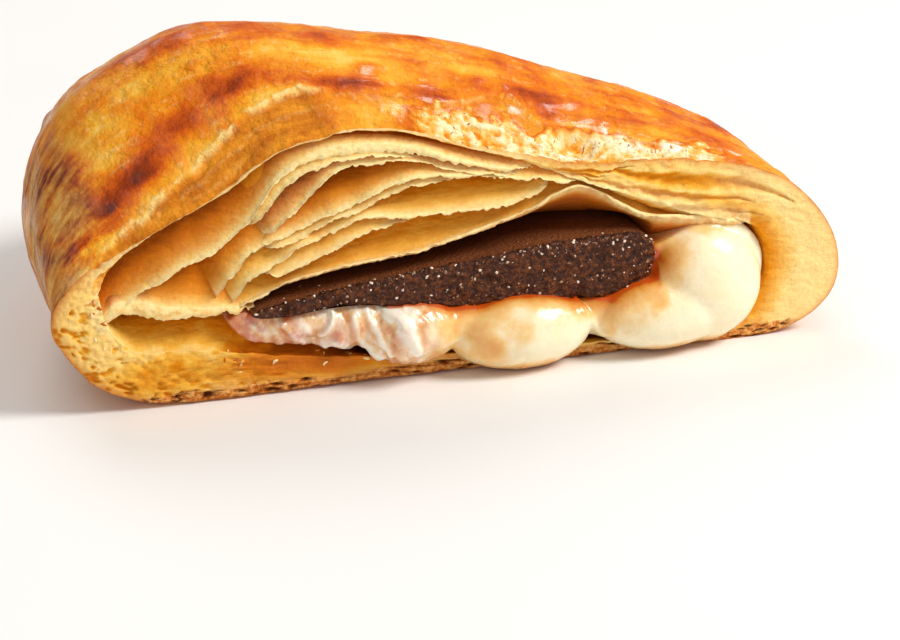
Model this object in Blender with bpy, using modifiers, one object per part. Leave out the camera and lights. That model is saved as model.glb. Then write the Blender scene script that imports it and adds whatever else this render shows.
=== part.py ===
"""Half of a flaky pastry wrap, cut across so that its dough layers and its filling show.

The wrap lies on its flat base at z = 0, and the cut face stands upright and looks along -Y.
Shapes are worked out in millimetres: x across the cut, z up, y the depth behind the cut.
They become metres, about an origin under the middle of the whole half, as each mesh is made.
"""

import math

import bmesh
import bpy
import numpy as np

MM = 0.001

# The origin, in the millimetres of the cut face: under the middle of the half's box.
ORIGIN = (0.95, 30.69, 0.0)

# The wrap's own depth behind the cut, and the depth at which it is fullest.
WRAP_DEPTH = 66.0
FULL_DEPTH = 13.0

# Outlines of the dough across x and z: where the knife went, and at its fullest just behind.
# Both start at the base's left end and go up the left flank, over the top and down the nose.
CUT_OUTLINE = [
    (-33.5, 0.4), (-41.8, 2.0), (-47.4, 6.2), (-50.2, 12.4), (-47.2, 17.8), (-38.8, 22.8),
    (-30.0, 27.0), (-20.6, 32.6), (-9.0, 33.4), (4.0, 29.8), (18.0, 26.4), (33.0, 25.0),
    (45.0, 20.8), (51.6, 12.6), (51.4, 4.8), (42.6, 0.2), (20.0, 0.3), (-12.0, 0.5),
]
FULL_OUTLINE = [
    (-34.0, -0.8), (-41.6, 1.2), (-47.5, 9.0), (-50.3, 19.0), (-49.5, 28.0), (-44.5, 36.5),
    (-35.0, 42.0), (-26.0, 44.3), (-12.0, 42.5), (3.0, 39.2), (18.0, 34.2), (31.0, 29.3),
    (42.8, 22.8), (49.4, 14.0), (49.2, 5.0), (41.0, -0.4), (20.0, -0.8), (-12.0, -0.8),
]

# How the width to either side and the height draw in towards the far end.
LEFT_TAPER = (1.35, 2.7)
RIGHT_TAPER = (2.0, 2.6)
TOP_TAPER = (1.25, 1.8)
END_HEIGHT = 6.5
SIDE_BLEND = 12.0
BASE_BLEND = 8.0

# Shallow swells of the crust: height, length across, slant with the depth, starting angle.
SWELLS = [(0.16, 34.0, 0.9, 0.4), (0.08, 19.0, -0.55, 2.1)]

# The outer skin of the crust is torn back from the cut over the top: share of the way round
# the outline, and how far behind the cut the skin's edge lies there.
SKIN = 0.8
SKIN_EDGE = [
    (0.245, 0.1), (0.298, 1.0), (0.335, 1.8), (0.387, 2.8), (0.443, 3.4), (0.463, 2.4),
    (0.524, 5.0), (0.532, 2.8), (0.580, 1.8), (0.630, 0.4),
]
SKIN_FADE = 0.04

# The dark slab at the cut, a wedge with a blunt right end: its upper edge and its underside,
# both from left to right. Then how far it stands out of the cut and how far back it runs.
SLAB_OVER = [
    (-25.6, 11.0), (-24.4, 11.7), (-22.0, 12.2), (-16.8, 12.9), (-9.1, 14.0), (-1.7, 14.7),
    (5.6, 15.4), (12.6, 16.1), (21.2, 16.4), (24.6, 16.2), (26.6, 15.0), (27.5, 12.8),
]
SLAB_UNDER = [
    (-24.2, 10.6), (-20.7, 10.5), (-16.0, 10.9), (-11.0, 10.8), (-4.3, 9.7), (4.2, 9.0),
    (14.1, 8.6), (21.5, 8.2), (25.4, 8.6), (27.0, 9.9),
]
SLAB_PROUD = 1.2
SLAB_BACK = 40.0
SLAB_ROUNDING = 0.5

# The melted cream round it, out to the dough.
CREAM_OUTLINE = [
    (-28.2, 10.4), (-24.5, 6.9), (-15.0, 5.6), (-5.0, 4.2), (10.0, 3.4), (28.0, 3.2),
    (37.4, 4.2), (41.4, 7.6), (42.0, 11.6), (39.4, 15.2), (33.4, 16.2), (27.0, 13.6),
    (16.0, 12.4), (2.0, 12.0), (-11.0, 11.6), (-21.0, 11.2),
]
CREAM_BACK = 38.0
CREAM_PROUD = 1.6
CREAM_DEPTHS = (0.0, 8.0, 16.0, 24.0, 31.0)

# Right of here the cream draws in towards its back: by what share across and upwards, round
# which height, and over what width that begins.
CREAM_BEND = 23.6
CREAM_DRAW_IN = (0.45, 0.35)
CREAM_MIDDLE = 8.0
CREAM_BLEND = 8.0

# Where it has run out over the base: centre and half sizes of each lobe.
LOBES = [
    ((34.5, 0.0, 9.2), (8.2, 4.6, 8.5)),
    ((28.0, 0.3, 5.4), (9.0, 4.8, 4.9)),
    ((9.0, 0.2, 5.2), (9.4, 4.8, 4.8)),
    ((-4.8, 0.2, 6.6), (6.5, 3.8, 4.1)),
    ((-15.6, 0.4, 8.0), (7.4, 2.4, 2.6)),
]

GAP = 0.3  # kept between pieces that touch
FORWARD = 9.0  # how far in front of the cut a cutter starts

# Air gaps between the dough layers: the edge of the layer above, as points along the cut,
# then the greatest opening, where along the edge it lies, the depth, and how far up the
# opening's back end sits.
CREVICES = {
    "under_rim": (
        [(-40.8, 18.6), (-34.2, 23.2), (-26.2, 27.8), (-19.6, 31.2), (-9.0, 31.8), (5.6, 27.6)],
        6.0, 0.30, 13.0, 0.75,
    ),
    "second_left": (
        [(-36.4, 15.6), (-31.6, 18.0), (-27.6, 19.8), (-24.2, 23.0)],
        2.3, 0.55, 7.0, 0.7,
    ),
    "second_right": (
        [(-20.6, 25.6), (-17.6, 28.6), (-12.4, 29.6), (-6.0, 29.2), (2.6, 26.6)],
        1.3, 0.4, 7.0, 0.6,
    ),
    "third": (
        [(-23.0, 20.6), (-18.0, 24.6), (-15.2, 27.0), (-9.4, 27.9), (-3.0, 27.4), (4.6, 25.4)],
        3.4, 0.38, 11.0, 0.75,
    ),
    "fourth": (
        [(-15.6, 21.0), (-10.2, 23.9), (-3.6, 25.4), (4.0, 25.0), (13.4, 23.0)],
        3.6, 0.55, 12.0, 0.8,
    ),
    "fifth": (
        [(-17.4, 17.6), (-12.6, 20.2), (-8.0, 20.9), (-2.0, 20.3), (4.6, 20.4)],
        2.4, 0.4, 7.0, 0.75,
    ),
    "lower_left": (
        [(-42.6, 9.6), (-38.8, 11.7), (-34.4, 11.2), (-30.0, 10.8)],
        3.2, 0.45, 7.0, 0.75,
    ),
    "nose": (
        [(22.4, 23.4), (30.0, 22.9), (38.6, 21.6), (46.0, 16.8)],
        1.7, 0.5, 6.0, 0.6,
    ),
}

# The opening above the slab: the edge of the moist layer over it, and how deep it goes.
MOUTH_ROOF = [
    (-26.0, 12.0), (-13.0, 15.4), (-3.9, 16.9), (6.5, 19.4), (12.0, 21.6), (17.0, 22.3),
    (22.3, 19.8), (26.6, 16.4),
]
MOUTH_DEPTH = 12.5
MOUTH_OVERLAP = 1.0
MOUTH_LEAST = 0.6
MOUTH_RISE = 0.1

# A blister in the crust above the mouth has broken open.
BLISTER_CENTRE = (17.2, 2.6, 29.0)
BLISTER_HALF = (3.4, 2.6, 1.9)

BODY_RING = 96
LOFT_RING = 48
CREVICE_STEPS = 22
CREVICE_LEVELS = 4
CREVICE_LEAST = 0.25
CREVICE_SHALLOWEST = 0.12
CREVICE_CLOSING = 0.94
END_SHARE = 0.06

# Stations of the dough from front to back, and how they crowd towards the cut and the far end.
FRONT_STATIONS = 13
FRONT_CROWDING = 1.25
BACK_STATIONS = 12
BACK_CROWDING = 1.7
FAR_END = 0.02  # where the last station stops short of a point


def clear_scene():
    for obj in list(bpy.data.objects):
        bpy.data.objects.remove(obj, do_unlink=True)


def collection(name):
    made = bpy.data.collections.new(name)
    bpy.context.scene.collection.children.link(made)
    return made


def material(name, colour, roughness):
    made = bpy.data.materials.new(name)
    made.use_nodes = True
    shader = made.node_tree.nodes["Principled BSDF"]
    shader.inputs["Base Color"].default_value = (*colour, 1.0)
    shader.inputs["Roughness"].default_value = roughness
    shader.inputs["Metallic"].default_value = 0.0
    return made


def curve_through(points, count, closed):
    """Evenly counted places on a smooth curve through the points."""
    points = np.array(points, float)
    last = len(points) if closed else len(points) - 1
    along = np.arange(count) * last / (count if closed else count - 1)
    start = np.minimum(along.astype(int), last - 1)
    share = (along - start)[:, None]
    if closed:
        before, here, after, beyond = (points[(start + k) % last] for k in (-1, 0, 1, 2))
    else:
        padded = np.vstack([2 * points[0] - points[1], points, 2 * points[-1] - points[-2]])
        before, here, after, beyond = (padded[start + k] for k in (0, 1, 2, 3))
    return 0.5 * (
        2 * here
        + (after - before) * share
        + (2 * before - 5 * here + 4 * after - beyond) * share**2
        + (3 * here - before - 3 * after + beyond) * share**3
    )


def outward(ring):
    """Unit vectors that point out of a ring that runs clockwise, as seen from the front."""
    along = np.roll(ring, -1, axis=0) - np.roll(ring, 1, axis=0)
    across = np.stack([-along[:, 1], along[:, 0]], axis=1)
    return across / np.linalg.norm(across, axis=1, keepdims=True)


def smooth_step(value):
    value = np.clip(value, 0.0, 1.0)
    return value * value * (3 - 2 * value)


def taper(share, powers):
    rise, fall = powers
    return (1 - share**rise) ** (1 / fall)


def dough_section(depth, count):
    """The outline of the dough, as x and z, this far behind the cut."""
    cut = curve_through(CUT_OUTLINE, count, closed=True)
    full = curve_through(FULL_OUTLINE, count, closed=True)
    if depth < FULL_DEPTH:
        filled = 1 - (1 - depth / FULL_DEPTH) ** 2
        ring = cut * (1 - filled) + full * filled
    else:
        share = (depth - FULL_DEPTH) / (WRAP_DEPTH - FULL_DEPTH)
        rightness = 1 / (1 + np.exp(-full[:, 0] / SIDE_BLEND))
        left, right = taper(share, LEFT_TAPER), taper(share, RIGHT_TAPER)
        across = full[:, 0] * (left * (1 - rightness) + right * rightness)
        lift = END_HEIGHT * share**6
        up = np.maximum(full[:, 1], 0.0) * taper(share, TOP_TAPER) + lift
        ring = np.stack([across, up], axis=1)
    above_base = smooth_step(ring[:, 1] / BASE_BLEND)
    relief = above_base * crust_swell(ring, depth) - torn_skin(count, depth)
    ring = ring + outward(ring) * relief[:, None]
    ring[:, 1] = np.maximum(ring[:, 1], 0.0)
    return ring


def crust_swell(ring, depth):
    """The baked crust's shallow rises and creases, which fade out at the cut."""
    across = ring[:, 0] + 0.5 * ring[:, 1]
    total = np.zeros(len(ring))
    for height, length, slant, start in SWELLS:
        total += height * np.sin(math.tau * (across + slant * depth) / length + start)
    return total * smooth_step(depth / 5.0)


def torn_skin(count, depth):
    """How far the surface lies below the outer skin, in front of the skin's torn edge."""
    turn = np.arange(count) / count
    shares, reaches = np.array(SKIN_EDGE).T
    edge = np.interp(turn, shares, reaches)
    there = smooth_step((turn - shares[0]) / SKIN_FADE + 0.5)
    there = there * smooth_step((shares[-1] - turn) / SKIN_FADE + 0.5)
    return SKIN * there * smooth_step(edge + 0.5 - depth)


def in_metres(depth, ring):
    """The ring of x and z at this depth, as points of the finished part."""
    depths = np.broadcast_to(depth, len(ring))
    points = np.stack([ring[:, 0], depths, ring[:, 1]], axis=1) - ORIGIN
    return points * MM


def loft(name, rings, into, look=None):
    """A closed skin over rings of as many points each, with a flat face on each end."""
    bm = bmesh.new()
    rows = [[bm.verts.new(point) for point in ring] for ring in rings]
    for near, far in zip(rows, rows[1:]):
        for i in range(len(near)):
            j = (i + 1) % len(near)
            bm.faces.new((near[i], near[j], far[j], far[i]))
    bm.faces.new(rows[0])
    bm.faces.new(reversed(rows[-1]))
    bmesh.ops.recalc_face_normals(bm, faces=bm.faces[:])
    mesh = bpy.data.meshes.new(name)
    bm.to_mesh(mesh)
    bm.free()
    obj = bpy.data.objects.new(name, mesh)
    into.objects.link(obj)
    if look:
        mesh.materials.append(look)
        mesh.shade_smooth()
        mesh.set_sharp_from_angle(angle=math.radians(40))
    return obj


def as_helper(obj):
    obj.hide_render = True
    obj.display_type = "WIRE"
    return obj


def boolean(obj, other, operation):
    modifier = obj.modifiers.new(f"{operation} {other.name}", "BOOLEAN")
    modifier.operation = operation
    modifier.object = other
    modifier.solver = "EXACT"
    return modifier


def dough(into, look):
    """The baked dough, before the filling's pocket and the air gaps are cut from it."""
    front = FULL_DEPTH * np.linspace(0, 1, FRONT_STATIONS) ** FRONT_CROWDING
    back = 1 - (1 - np.linspace(0, 1, BACK_STATIONS + 1)[1:]) ** BACK_CROWDING
    back = FULL_DEPTH + (WRAP_DEPTH - FULL_DEPTH) * back
    back[-1] = WRAP_DEPTH - FAR_END
    rings = [in_metres(y, dough_section(y, BODY_RING)) for y in (*front, *back)]
    return loft("pastry", rings, into, look)


def crevice(name, edge, opening, widest, depth, rise, into):
    """A cutter for an air gap that is open at the cut and closes behind it."""
    roof = curve_through(edge, CREVICE_STEPS, closed=False)
    share = np.linspace(0, 1, CREVICE_STEPS)
    bulge = np.sin(math.pi * share ** (math.log(0.5) / math.log(widest)))
    along = np.gradient(roof, axis=0)
    down = np.stack([along[:, 1], -along[:, 0]], axis=1)
    down /= np.linalg.norm(down, axis=1, keepdims=True)
    floor = roof + down * np.maximum(opening * bulge, CREVICE_LEAST)[:, None]
    reach = depth * np.maximum(bulge, CREVICE_SHALLOWEST) ** 0.6
    return wedge(name, roof, floor, reach, rise, into)


def wedge(name, roof, floor, reach, rise, into):
    """A closed shape between a roof and a floor line that draw together with the depth."""
    back = floor + (roof - floor) * rise
    rings = []
    for level in range(-1, CREVICE_LEVELS + 1):
        share = max(level, 0) / CREVICE_LEVELS
        closing = CREVICE_CLOSING * share**1.2
        above = roof + (back - roof) * closing
        below = floor + (back - floor) * closing
        depth = -FORWARD if level < 0 else reach * share
        depths = np.broadcast_to(depth, len(roof))
        depths = np.concatenate([depths, depths[::-1]])
        rings.append(in_metres(depths, np.vstack([above, below[::-1]])))
    return as_helper(loft(f"{name}_gap", rings, into))


def slab_outline(margin=0.0):
    """The slab's cut end, clockwise from its pointed left tip."""
    ring = np.array(SLAB_OVER + SLAB_UNDER[::-1])
    return ring + outward(ring) * margin


def slab(into, look):
    rings = [in_metres(y, slab_outline()) for y in (-SLAB_PROUD, SLAB_BACK)]
    made = loft("dark_slab", rings, into, look)
    rounding = made.modifiers.new("worn edges", "BEVEL")
    rounding.width = SLAB_ROUNDING * MM
    rounding.segments = 2
    rounding.limit_method = "ANGLE"
    rounding.angle_limit = math.radians(50)
    return made


def slab_space(into):
    rings = [in_metres(y, slab_outline(GAP)) for y in (-FORWARD, SLAB_BACK + GAP)]
    return as_helper(loft("slab_space", rings, into))


def cream_ring(depth, margin=0.0):
    """The cream's outline at this depth: it narrows with the wrap on the nose's side."""
    ring = curve_through(CREAM_OUTLINE, LOFT_RING, closed=True)[::-1]
    share = np.clip(depth / CREAM_BACK, 0.0, 1.0) ** 2
    share = share * np.clip((ring[:, 0] - CREAM_BEND) / CREAM_BLEND, 0.0, 1.0)
    across, up = CREAM_DRAW_IN
    x = ring[:, 0] - (ring[:, 0] - CREAM_BEND) * across * share
    z = ring[:, 1] - (ring[:, 1] - CREAM_MIDDLE) * up * share
    ring = np.stack([x, z], axis=1)
    return ring + outward(ring) * margin


def cream(into, cutters, look):
    depths = (-CREAM_PROUD, *CREAM_DEPTHS, CREAM_BACK)
    made = loft("melted_cream", [in_metres(y, cream_ring(y)) for y in depths], into, look)
    far = 2 * WRAP_DEPTH  # past every side of the half
    behind_cut = as_helper(block("behind_the_cut", (-far, -GAP, -far), (far, far, far), cutters))
    for number, (centre, half) in enumerate(LOBES, 1):
        boolean(made, lobe(f"lobe_{number}", centre, half, behind_cut, cutters), "UNION")
    boolean(made, slab_space(cutters), "DIFFERENCE")
    return made


def block(name, low, high, into):
    bm = bmesh.new()
    bmesh.ops.create_cube(bm, size=1.0)
    low, high = np.array(low, float), np.array(high, float)
    size, centre = (high - low) * MM, ((low + high) / 2 - ORIGIN) * MM
    for vert in bm.verts:
        vert.co = [vert.co[k] * size[k] + centre[k] for k in range(3)]
    mesh = bpy.data.meshes.new(name)
    bm.to_mesh(mesh)
    bm.free()
    obj = bpy.data.objects.new(name, mesh)
    into.objects.link(obj)
    return obj


def egg(name, centre, half, into):
    bm = bmesh.new()
    bmesh.ops.create_uvsphere(bm, u_segments=24, v_segments=14, radius=1.0)
    centre = (np.array(centre) - ORIGIN) * MM
    for vert in bm.verts:
        vert.co = [vert.co[k] * half[k] * MM + centre[k] for k in range(3)]
    mesh = bpy.data.meshes.new(name)
    bm.to_mesh(mesh)
    bm.free()
    mesh.shade_smooth()
    obj = as_helper(bpy.data.objects.new(name, mesh))
    into.objects.link(obj)
    return obj


def lobe(name, centre, half, behind_cut, into):
    """A rounded run of cream that hangs in front of the cut."""
    made = egg(name, centre, half, into)
    boolean(made, behind_cut, "DIFFERENCE")
    return made


def pocket(into):
    """A cutter for the space that the cream and the slab fill."""
    depths = (-FORWARD, *CREAM_DEPTHS, CREAM_BACK + GAP)
    rings = [in_metres(y, cream_ring(y, GAP)) for y in depths]
    return as_helper(loft("pocket", rings, into))


def mouth(into):
    """A cutter for the opening above the slab, which closes down onto it."""
    roof = curve_through(MOUTH_ROOF, CREVICE_STEPS, closed=False)
    floor_z = np.interp(roof[:, 0], *np.array(SLAB_OVER).T) - MOUTH_OVERLAP
    floor_z = np.minimum(floor_z, roof[:, 1] - MOUTH_LEAST)
    floor = np.stack([roof[:, 0], floor_z], axis=1)
    share = np.linspace(END_SHARE, 1 - END_SHARE, CREVICE_STEPS)
    reach = MOUTH_DEPTH * np.sin(math.pi * share) ** 0.5
    return wedge("mouth", roof, floor, reach, MOUTH_RISE, into)


def main():
    clear_scene()
    wrap = collection("flaky pastry wrap half")
    cutters = collection("cutters")
    cutters.hide_render = True
    baked = material("baked dough", (0.80, 0.42, 0.12), 0.55)
    dark = material("dark filling", (0.07, 0.03, 0.02), 0.35)
    pale = material("melted cream", (0.90, 0.82, 0.58), 0.3)

    pastry = dough(wrap, baked)
    slab(wrap, dark)
    cream(wrap, cutters, pale)
    blister = egg("blister", BLISTER_CENTRE, BLISTER_HALF, cutters)
    for cutter in (pocket(cutters), slab_space(cutters), mouth(cutters), blister):
        boolean(pastry, cutter, "DIFFERENCE")
    for name, (edge, opening, widest, depth, rise) in CREVICES.items():
        cutter = crevice(name, edge, opening, widest, depth, rise, cutters)
        boolean(pastry, cutter, "DIFFERENCE")


main()
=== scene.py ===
"""The looks of half a flaky pastry wrap: baked crust, torn layers, dark slab and melted cream.

The half rests on its flat underside, and its cut face looks along -Y. Shapes are worked out
in millimetres as in the part's source: x across the cut, z up, y the depth behind the cut.
They become metres, about the part's origin, as each mesh is made.
"""

import itertools
import math
import random

import bpy
import numpy as np
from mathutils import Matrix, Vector


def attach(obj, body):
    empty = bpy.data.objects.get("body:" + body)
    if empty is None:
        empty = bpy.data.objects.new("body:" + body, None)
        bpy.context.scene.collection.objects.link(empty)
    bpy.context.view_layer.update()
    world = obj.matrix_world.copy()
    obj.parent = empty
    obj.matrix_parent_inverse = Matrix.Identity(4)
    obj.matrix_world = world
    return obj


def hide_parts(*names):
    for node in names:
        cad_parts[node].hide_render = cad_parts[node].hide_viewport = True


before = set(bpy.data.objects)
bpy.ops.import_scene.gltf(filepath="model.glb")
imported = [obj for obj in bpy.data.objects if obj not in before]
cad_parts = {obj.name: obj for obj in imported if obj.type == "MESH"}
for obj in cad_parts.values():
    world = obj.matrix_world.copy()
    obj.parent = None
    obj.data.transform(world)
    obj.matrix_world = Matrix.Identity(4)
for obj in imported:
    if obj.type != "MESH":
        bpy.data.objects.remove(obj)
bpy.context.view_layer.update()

MM = 0.001
ORIGIN = np.array([0.95, 30.69, 0.0])

# The dough's form, with the same named values as the part's solids.

WRAP_DEPTH = 66.0
FULL_DEPTH = 13.0
CUT_OUTLINE = [
    (-33.5, 0.4), (-41.8, 2.0), (-47.4, 6.2), (-50.2, 12.4), (-47.2, 17.8), (-38.8, 22.8),
    (-30.0, 27.0), (-20.6, 32.6), (-9.0, 33.4), (4.0, 29.8), (18.0, 26.4), (33.0, 25.0),
    (45.0, 20.8), (51.6, 12.6), (51.4, 4.8), (42.6, 0.2), (20.0, 0.3), (-12.0, 0.5),
]
FULL_OUTLINE = [
    (-34.0, -0.8), (-41.6, 1.2), (-47.5, 9.0), (-50.3, 19.0), (-49.5, 28.0), (-44.5, 36.5),
    (-35.0, 42.0), (-26.0, 44.3), (-12.0, 42.5), (3.0, 39.2), (18.0, 34.2), (31.0, 29.3),
    (42.8, 22.8), (49.4, 14.0), (49.2, 5.0), (41.0, -0.4), (20.0, -0.8), (-12.0, -0.8),
]
LEFT_TAPER = (1.35, 2.7)
RIGHT_TAPER = (2.0, 2.6)
TOP_TAPER = (1.25, 1.8)
END_HEIGHT = 6.5
SIDE_BLEND = 12.0
BASE_BLEND = 8.0
SWELLS = [(0.16, 34.0, 0.9, 0.4), (0.08, 19.0, -0.55, 2.1)]

# The torn edge of the outer skin: share of the way round, and how far it lies behind the cut.
SKIN_EDGE = [
    (0.200, -0.6), (0.245, 0.1), (0.261, 0.4), (0.276, 0.6), (0.298, 1.0), (0.316, 1.3),
    (0.335, 1.8), (0.354, 2.2), (0.387, 2.8), (0.406, 3.2), (0.431, 3.4), (0.443, 3.4),
    (0.455, 3.0), (0.463, 2.4), (0.484, 2.8), (0.507, 4.3), (0.524, 5.0), (0.532, 2.8),
    (0.556, 2.4), (0.580, 1.8), (0.605, 1.2), (0.630, 0.4), (0.660, -0.6),
]
SKIN_STEP = 0.8

# Where the rim's face ends and the open hollow with the layers and the filling begins.
HOLLOW_OUTLINE = [
    (-32.5, 7.1), (-39.2, 7.4), (-42.2, 9.5), (-44.0, 12.8), (-44.0, 17.0), (-38.9, 21.9),
    (-30.2, 26.4), (-20.9, 31.9), (-9.0, 32.8), (3.9, 28.9), (17.0, 23.8), (31.5, 17.9),
    (39.6, 15.6), (42.5, 11.6), (41.6, 6.4), (37.2, 2.6), (18.0, 1.9), (-14.0, 4.0),
]
HOLLOW_DEPTH = 16.0
BOWL_HEIGHT = 12.0
BOWL_DEPTH = 5.5

# Parts of the cut, from left to right: where each begins, over which length it fades in, where
# it ends and over which length it fades out.
THIN_EDGED = (-47.0, 4.0, 13.0, 5.0)
BASE_CRUST = (-43.0, 6.0, 49.0, 5.0)
BASE_STRIP = (-33.0, 6.0, 5.0, 6.0)
SHADOW_UNDER_CREAM = (-31.0, 6.0, 2.0, 5.0)
FLOOR_CRUMBS = (-32.0, 4.0, 2.0, 5.0)

# Parts of the crust, round its outline, in the same way.
SKIN_BARED = (0.2, 0.04, 0.645, 0.03)
CRUMBLY = (0.452, 0.03, 0.64, 0.03)
FLANK = (0.02, 0.1, 0.285, 0.05)

# Honey-brown places of the rim's crumb: middle and half sizes across and upwards, strength.
HONEY = [(-36.0, 4.4, 6.5, 2.6, 0.42), (-17.0, 4.2, 13.0, 2.0, 0.90), (38.0, 1.8, 6.0, 1.6, 0.5)]

# The layers that show at the cut, from the top down: the lower edge of each and its thickness
# along the cut, how deep the gap above it reaches, and the share of that depth over which painted
# shade turns the layer deep golden. Then the length over which its right end closes, whether it
# stays free of the layer above there, how stained and how honeyed it is, and how far its ends are
# drawn back.
LAYERS = {
    "layer_second": {
        "edge": [
            (-47.4, 9.6), (-43.4, 12.6), (-40.0, 14.5), (-36.9, 16.2), (-34.0, 17.8), (-31.5, 18.8),
            (-29.0, 20.0), (-25.5, 22.7), (-24.0, 24.6), (-21.7, 27.7), (-19.0, 29.2), (-16.0, 30.0),
            (-12.5, 30.2), (-7.6, 29.8), (-3.5, 29.1), (-0.3, 27.9), (4.1, 26.6), (9.0, 25.6),
            (13.0, 24.9),
        ],
        "thickness": [
            (-47.4, 0.3), (-30.0, 0.4), (-22.0, 0.7), (-15.0, 1.3), (-7.0, 1.4), (0.0, 0.9),
            (13.0, 0.3),
        ],
        "gap": 12.0, "shade_share": 0.2,
    },
    "layer_second_inner": {
        "edge": [
            (-26.6, 20.6), (-24.0, 23.0), (-21.0, 26.6), (-18.0, 28.4), (-14.0, 29.3), (-9.0, 29.4),
            (-4.0, 28.5), (0.0, 27.4),
        ],
        "thickness": [(-26.6, 0.3), (-18.0, 0.5), (-8.0, 0.4), (0.0, 0.3)],
        "gap": 2.0, "shade_share": 2.5, "closing": 10.0,
    },
    "layer_third": {
        "edge": [
            (-24.4, 19.8), (-22.4, 21.3), (-20.2, 23.1), (-17.9, 25.1), (-15.4, 27.5), (-12.8, 28.4),
            (-7.6, 28.5), (-3.5, 27.9), (-0.6, 26.9), (3.4, 25.9), (9.0, 25.0), (12.5, 24.5),
        ],
        "thickness": [(-24.4, 0.3), (-20.0, 0.5), (-8.0, 0.4), (12.5, 0.3)],
        "gap": 4.0, "shade_share": 0.3,
    },
    "layer_fourth": {
        "edge": [
            (-30.6, 10.8), (-29.5, 13.4), (-28.4, 15.4), (-27.1, 16.8), (-26.0, 18.1), (-24.3, 19.0),
            (-22.0, 20.0), (-19.2, 20.9), (-14.3, 22.8), (-12.0, 23.4), (-9.7, 24.5), (-6.8, 25.6),
            (-4.1, 26.1), (1.1, 25.8), (7.0, 24.9), (11.5, 24.2), (15.5, 23.6), (18.5, 23.4),
        ],
        "thickness": [(-30.6, 0.3), (-24.0, 0.4), (-12.0, 0.6), (2.0, 0.5), (18.5, 0.3)],
        "gap": 10.0, "shade_share": 0.35, "closing": 3.5,
    },
    "layer_fourth_inner": {
        "edge": [
            (-24.0, 17.6), (-21.6, 18.9), (-19.0, 19.8), (-14.6, 21.8), (-11.6, 22.5), (-8.6, 23.8),
            (-5.0, 24.9), (-1.0, 24.9), (4.0, 24.1),
        ],
        "thickness": [(-24.0, 0.3), (-14.0, 0.4), (4.0, 0.3)],
        "gap": 3.0, "shade_share": 2.5, "closing": 10.0,
    },
    "layer_fifth": {
        "edge": [
            (-28.8, 10.6), (-26.9, 13.7), (-25.3, 15.5), (-23.5, 16.3), (-21.6, 17.2), (-19.3, 18.8),
            (-16.3, 19.5), (-14.6, 20.2), (-12.0, 21.3), (-9.7, 21.6), (-5.9, 21.1), (0.0, 21.0),
            (4.1, 21.1), (8.2, 21.4), (11.0, 22.2), (14.0, 23.4),
        ],
        "thickness": [(-28.8, 0.3), (-20.0, 0.4), (-8.0, 0.5), (5.0, 0.5), (14.0, 0.3)],
        "gap": 11.0, "shade_share": 0.8, "closing": 2.5,
    },
    "layer_fifth_inner": {
        "edge": [
            (-24.4, 13.8), (-20.0, 16.0), (-16.0, 17.4), (-12.4, 18.9), (-8.0, 19.1), (-2.0, 18.9),
        ],
        "thickness": [(-24.4, 0.3), (-12.0, 0.5), (-2.0, 0.3)],
        "gap": 3.0, "shade_share": 2.5, "closing": 12.0,
    },
    "layer_moist": {
        "edge": [
            (-28.6, 11.2), (-25.1, 12.6), (-19.6, 14.6), (-12.9, 15.7), (-4.8, 16.3), (2.3, 18.0),
            (10.0, 20.1), (13.6, 21.9), (16.8, 22.8), (19.9, 21.4), (23.2, 19.2), (26.0, 17.6),
            (30.4, 16.9), (34.6, 16.2), (40.6, 15.0),
        ],
        "thickness": [
            (-28.6, 0.3), (-15.0, 0.4), (0.0, 0.5), (12.0, 0.5), (17.0, 0.4), (26.0, 0.8),
            (40.6, 0.9),
        ],
        "gap": 6.0, "shade_share": 2.2, "closing": 3.0, "free": True, "stain": 0.45,
    },
    "layer_lower_left": {
        "edge": [
            (-45.4, 11.2), (-43.6, 11.9), (-41.8, 12.4), (-38.8, 12.0), (-37.0, 11.5), (-33.9, 11.2),
            (-31.4, 10.9), (-28.9, 11.0), (-24.6, 11.2),
        ],
        "thickness": [
            (-45.4, 1.3), (-42.9, 2.0), (-39.2, 2.0), (-34.9, 1.6), (-30.6, 1.4), (-24.6, 0.6),
        ],
        "gap": 7.0, "closing": 3.0, "free": True, "honeyed": 0.35, "drawn_back": 1.1,
    },
}
LAYER_DEFAULTS = {
    "shade_share": 0.5, "closing": 6.0, "free": False, "stain": 0.0, "honeyed": 0.0,
    "drawn_back": 1.8,
}
LAYER_DEPTH = 15.0

# The dark slab, as in the part's solids: its upper edge and its underside at the cut.
SLAB_OVER = [
    (-25.6, 11.0), (-24.4, 11.7), (-22.0, 12.2), (-16.8, 12.9), (-9.1, 14.0), (-1.7, 14.7),
    (5.6, 15.4), (12.6, 16.1), (21.2, 16.4), (24.6, 16.2), (26.6, 15.0), (27.5, 12.8),
]
SLAB_UNDER = [
    (-25.6, 11.0), (-24.2, 10.6), (-20.7, 10.5), (-16.0, 10.9), (-11.0, 10.8), (-4.3, 9.7),
    (4.2, 9.0), (14.1, 8.6), (21.5, 8.2), (25.4, 8.6), (27.0, 9.9), (27.5, 12.4),
]
SLAB_LEFT, SLAB_RIGHT = -25.6, 27.5
SLAB_PROUD = 1.2
SLAB_BACK = 40.0

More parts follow.
